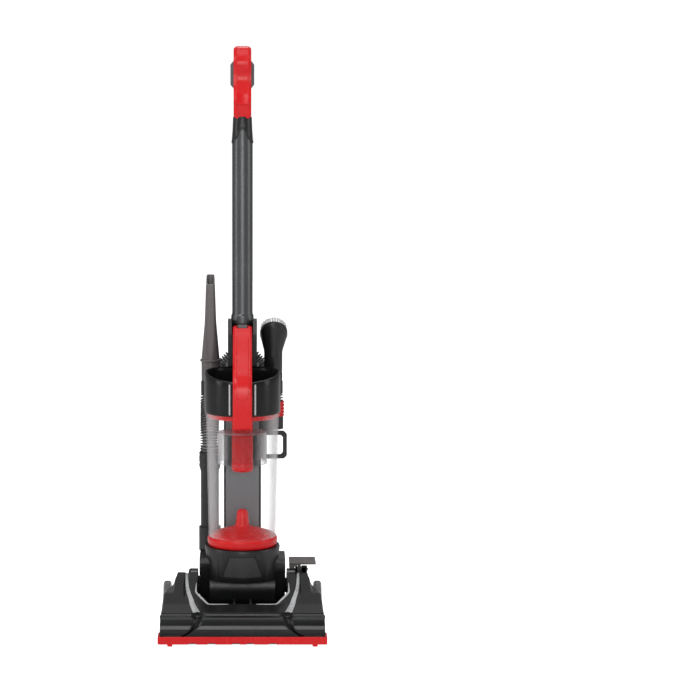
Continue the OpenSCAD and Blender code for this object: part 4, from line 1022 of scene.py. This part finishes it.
doorProfile = softCorners([[0.01, 162.5], [10, 164], [26, 158], [44, 154], [58, 151], [58, 143.6],
                           [64, 143.6], [65.8, 149], [66, 158], [63.4, 160.6], [60.5, 161], [60, 164],
                           [46, 169], [30, 174], [14, 178.5], [13, 182], [10.5, 205], [7, 210],
                           [0.01, 211]],
                          [0, 2, 2, 2, 1, 1, 1.5, 1.5, 1.5, 1, 0.6, 1.5, 3, 3, 2.5, 1, 2, 3, 0], 4)
doorShapes = [turnedShape(doorProfile, binAxis, 128, "z", False)]
ear = [[-7, 158], [7, 158], [5.5, 170], [-5.5, 170]]
for earX in (-46, 46):
    doorShapes.append(plateShape(softCorners(np.array(ear) + [earX, 0], 2.5, 4), 24, 30, "y"))
finishPiece("trapDoor", joinShapes(doorShapes), "red_gloss", "bin", stands=["bin_door"], smooth=40, bevel=0.4)
print("dust bin")

# carrying handle: outer and inner pair the two faces of the bar, as Y and Z
carry = {
    "outer": [[82, 557], [62, 557], [53, 550.5], [44, 540], [32, 523], [20, 506], [8, 492], [-4, 480],
              [-11, 471.5], [-16, 462], [-19, 452], [-20.3, 441], [-20.8, 428], [-20.8, 414], [-20, 395],
              [-19.2, 378], [-17, 373]],
    "inner": [[82, 534], [68, 534], [61, 531], [54, 525], [42, 510], [30, 496], [17, 481], [4.5, 466.5],
              [-3, 458.5], [-8.5, 452], [-11.4, 446], [-11.6, 439], [-11.8, 428], [-11.8, 414],
              [-11.4, 397], [-9.2, 380], [-8.6, 376]],
    "half": 17.7, "bar": dict(panel=9.6, slope=0.8, shoulder=3.2, shoulderDepth=2.2, edge=1.6), "rows": 150,
    "seat": 15.6, "seatEnds": ((57.5, 58.5), (78.6, 79.4)), "seatAbove": 530,    # depth, Y ends, least Z
    "tongue": {"low": 428, "high": 541, "half": 11.4, "round": 11},
    "button": [[64, 547.6], [76, 547.6], [76, 558.6], [72, 560], [67, 560], [64, 558.6]], "buttonHalf": 8.8,
}
index = np.linspace(0, 1, carry["rows"])


def pairedLine(corners):
    # the curve through the corners, read at the same share between the same two corners on both lines
    corners = np.asarray(corners, float)
    wide = np.vstack([2 * corners[0] - corners[1], corners, 2 * corners[-1] - corners[-2]])
    spotAt = index * (len(corners) - 1)
    k = np.minimum(spotAt.astype(int), len(corners) - 2)
    return throughPoints(wide[k], wide[k + 1], wide[k + 2], wide[k + 3], (spotAt - k)[:, None])


def raisedTongue(outer, inner):
    # a strip that stands proud down the middle of the bar and ends in a half circle
    tongue = carry["tongue"]
    on = (outer[:, 1] < tongue["high"]) & (outer[:, 1] > tongue["low"])
    proud = (outer - inner)[on]
    proud /= np.linalg.norm(proud, axis=1, keepdims=True)
    up = np.clip((outer[on, 1] - tongue["low"]) / tongue["round"], 0, 1)
    half = tongue["half"] * np.sqrt(np.clip(1 - (1 - up) ** 2, 0.01, 1))
    x = half[:, None] * np.array([-1, -0.9, 0.9, 1, 1, -1])
    yz = outer[on][:, None] + proud[:, None] * np.array([0.5, 1.5, 1.5, 0.5, -1.5, -1.5])[None, :, None]
    return np.concatenate([x[..., None], yz], -1), tubeFaces(int(on.sum()), x.shape[1])


outerLine, innerLine = pairedLine(carry["outer"]), pairedLine(carry["inner"])
seatStart, seatEnd = carry["seatEnds"]
seat = carry["seat"] * smoothStep(outerLine[:, 0], *seatStart) * (1 - smoothStep(outerLine[:, 0], *seatEnd))
seat *= outerLine[:, 1] > carry["seatAbove"]
carryShape = barShape(outerLine, innerLine, carry["half"], carry["bar"], seat, False)
finishPiece("carryHandle", joinShapes([carryShape, raisedTongue(outerLine, innerLine)]), "red_gloss", "bin",
            stands=["carry_handle"], smooth=32, bevel=0.3)
buttonHalf = carry["buttonHalf"]
finishPiece("latchButton", plateShape(softCorners(carry["button"], 1.2, 4), -buttonHalf, buttonHalf, "x"),
            "grey_plastic", "latch", stands=["latch_button"], bevel=0.9)
print("carrying handle")


tubeProfile = [[14.8, 905], [17.8, 899], [17.8, 486], [19.4, 486], [19.4, 556], [19.8, 557.6], [21.2, 559],
               [21.4, 561], [21.4, 573], [21.1, 575], [19.7, 578], [19.4, 581], [19.4, 899], [19.2, 905],
               [18.2, 922], [17.3, 930], [16.4, 936], [14.8, 936]]
finishPiece("paintedTube", turnedShape(softCorners(tubeProfile, 0.7, 4), (0, tubeY, 0), 96), "tube_paint",
            "upright", stands=["handle_tube"], smooth=40)
sleeve = {"steps": 144, "rise": 27, "reach": 1.05, "power": 1.3, "fade": (906, 940), "drawIn": 0.1}
sleeveProfile = softCorners([[16.4, 904], [19.4, 899.4], [20.4, 899], [20.6, 901], [20.6, 903.6], [20, 905],
                             [18.6, 925], [17.8, 944], [17.6, 948.6], [0.01, 948.6], [0.01, 936],
                             [16.4, 936]],
                            [0.3, 0.3, 0.6, 0.8, 0.8, 0.6, 2, 2, 0.8, 0, 0, 0.5], 4)
sleevePoints, sleeveFaces = turnedShape(sleeveProfile, (0, 0, 0), sleeve["steps"], "z", False)
# its lower edge rises to a point at the front and draws in there
bearing = np.arange(sleeve["steps"]) * 2 * np.pi / sleeve["steps"]
offFront = np.abs((bearing - 0.5 * np.pi) % (2 * np.pi) - np.pi)
rise = sleeve["rise"] * np.clip(1 - offFront / sleeve["reach"], 0, 1)[:, None] ** sleeve["power"]
rise = rise * (1 - smoothStep(sleevePoints[..., 2], *sleeve["fade"]))
sleeveReach = np.linalg.norm(sleevePoints[..., :2], axis=-1)
sleevePoints[..., :2] *= (1 - sleeve["drawIn"] * rise / np.maximum(sleeveReach, 1))[..., None]
sleevePoints[..., 2] += rise
finishPiece("gripSleeve", (sleevePoints + [0, tubeY, 0], sleeveFaces), "black_satin", "upright",
            stands=["grip_sleeve"], smooth=40)

# loop grip: closed outlines in Y and Z, round a common centre
loop = {
    "centre": (115, 1022), "count": 260, "samples": 4000, "half": 16.6,
    "outer": [[89, 945], [86.4, 958], [84.4, 970.6], [82.2, 971.4], [82.6, 976], [85.5, 988], [89, 1003],
              [91, 1017], [90.2, 1028], [87.4, 1038], [85.6, 1048], [86.4, 1057], [90, 1065.6],
              [96.4, 1073.4], [104, 1078.6], [113, 1081], [122, 1079.4], [133, 1072], [143, 1061.6],
              [150, 1052], [153, 1043], [152, 1034], [146, 1016], [134, 985], [126, 964], [121, 945]],
    "outerSoft": [1.5] + [4] * 2 + [0.4, 0.6] + [5] * 20 + [1.5],
    "opening": [[108, 978], [101.6, 982], [100.4, 992], [101, 1006], [99.8, 1024], [98.6, 1042],
                [100.6, 1052], [107, 1058], [116, 1059], [128, 1054.6], [137.6, 1049], [141, 1041],
                [139, 1030], [131, 1010], [120, 988], [115, 980]],
    "openingSoft": 5,
    "bar": dict(panel=10.4, slope=0.8, shoulder=5.4, shoulderDepth=4.2, edge=2.6),
    "sunk": 1.1, "sunkFront": 112, "sunkEnds": ((973, 975), (1070, 1073)),    # panel depth, Y limit, Z ends
}


def roundTheCentre(corners, soft):
    # distance of a closed outline from the centre, at equal angles round it
    line = softCorners(corners, soft, 6)
    line = np.vstack([line, line[:1]])
    run = np.concatenate([[0], np.cumsum(np.linalg.norm(np.diff(line, axis=0), axis=1))])
    marks = np.linspace(0, run[-1], loop["samples"], endpoint=False)
    spots = np.stack([np.interp(marks, run, line[:, k]) for k in (0, 1)], -1) - loop["centre"]
    bearing = np.arctan2(spots[:, 1], spots[:, 0])
    order = np.argsort(bearing)
    wanted = np.linspace(-np.pi, np.pi, loop["count"], endpoint=False)
    reach = np.interp(wanted, bearing[order], np.linalg.norm(spots, axis=1)[order], period=2 * np.pi)
    return np.stack([np.cos(wanted), np.sin(wanted)], -1) * reach[:, None] + loop["centre"]


gripOuter = roundTheCentre(loop["outer"], loop["outerSoft"])
gripInner = roundTheCentre(loop["opening"], loop["openingSoft"])
sunkLow, sunkHigh = loop["sunkEnds"]
sunk = loop["sunk"] * smoothStep(gripOuter[:, 1], *sunkLow) * (1 - smoothStep(gripOuter[:, 1], *sunkHigh))
sunk *= gripOuter[:, 0] < loop["sunkFront"]
finishPiece("loopGrip", barShape(gripOuter, gripInner, loop["half"], loop["bar"], sunk, True), "red_gloss",
            "upright", stands=["grip_handle"], smooth=34, bevel=0.5)
bossProfile = softCorners([[4.1, 142], [8, 142], [8, 154.8], [4.1, 154.8]], 0.5, 3)
finishPiece("hookBoss", turnedShape(bossProfile, (0, 0, 1029), 48, "y"), "red_gloss", "upright", smooth=40)
print("loop grip")

# pieces whose CAD shape is right keep it, with softened edges: node, then edge width in millimetres
softened = {
    "foot_base": 0.4, "guard_strip": 0.9, "sole_plate": 0.6, "foot_duct": 0.9, "brush_bearings": 0.4,
    "foot_screws": 0.4, "motor_housing": 1.0, "filter_door": 0.5, "spine_frame": 0.7, "rear_cover": 1.2,
    "wand_port": 0.8, "inlet_elbow": 1.2, "hose_rest": 0.8, "cord_hook_lower": 1.6, "cord_gland": 0.5,
    "tool_pegs": 0.8, "neck_bracket": 1.3, "body_screws": 0.4, "cord_hook_upper": 1.2, "power_switch": 0.8,
    "filter_tray": 0.5, "foam_filter": 1.5,
}
otherFinish = {"filter_door": "badge_grey", "spine_frame": "spine_grey"}     # the rest keep their slot's own
for node, width in softened.items():
    refinedNode(node, width, otherFinish.get(node))
print("softened pieces:", len(softened))

# every other node that still shows gets its slot's finish
for node, carried in cadNodes.items():
    if not carried.hide_render:
        carried.data.materials.clear()
        carried.data.materials.append(finishes[slotOf[node]])

# floor and surroundings: seen by the camera itself they are near white, and give less light than that
studio = {"floorTone": (0.86, 0.88), "floorGlow": 0.95, "sky": 0.29, "skySeen": 0.75,
          "floor": [(-8, -7, 0), (8, -7, 0), (8, 9, 0), (-8, 9, 0)]}
material, flow, place = newFinish("paleFloor")
mottle = noise(flow, place, 3, 3)
seen = flow.node("ShaderNodeLightPath", out="Is Camera Ray")
floorLow, floorHigh = [(tone, tone, tone, 1) for tone in studio["floorTone"]]
surface(flow, {"Base Color": mottle.blendColour(floorLow, floorHigh), "Roughness": 0.9,
               "Specular IOR Level": 0.0, "Emission Color": (1, 1, 1, 1),
               "Emission Strength": seen * studio["floorGlow"]})
floorMesh = bpy.data.meshes.new("paleFloor")
floorMesh.from_pydata(studio["floor"], [], [(0, 1, 2, 3)])
floorMesh.materials.append(material)
paleFloor = bpy.data.objects.new("paleFloor", floorMesh)
scene.collection.objects.link(paleFloor)

world = bpy.data.worlds.new("studio")
world.use_nodes = True
scene.world = world
world.node_tree.nodes.clear()
sky = Flow(world.node_tree)
seen = sky.node("ShaderNodeLightPath", out="Is Camera Ray")
strength = studio["sky"] + seen * studio["skySeen"]
backdrop = sky.node("ShaderNodeBackground", {}, {"Color": (1, 1, 1, 1), "Strength": strength})
sky.node("ShaderNodeOutputWorld", {}, {"Surface": backdrop})
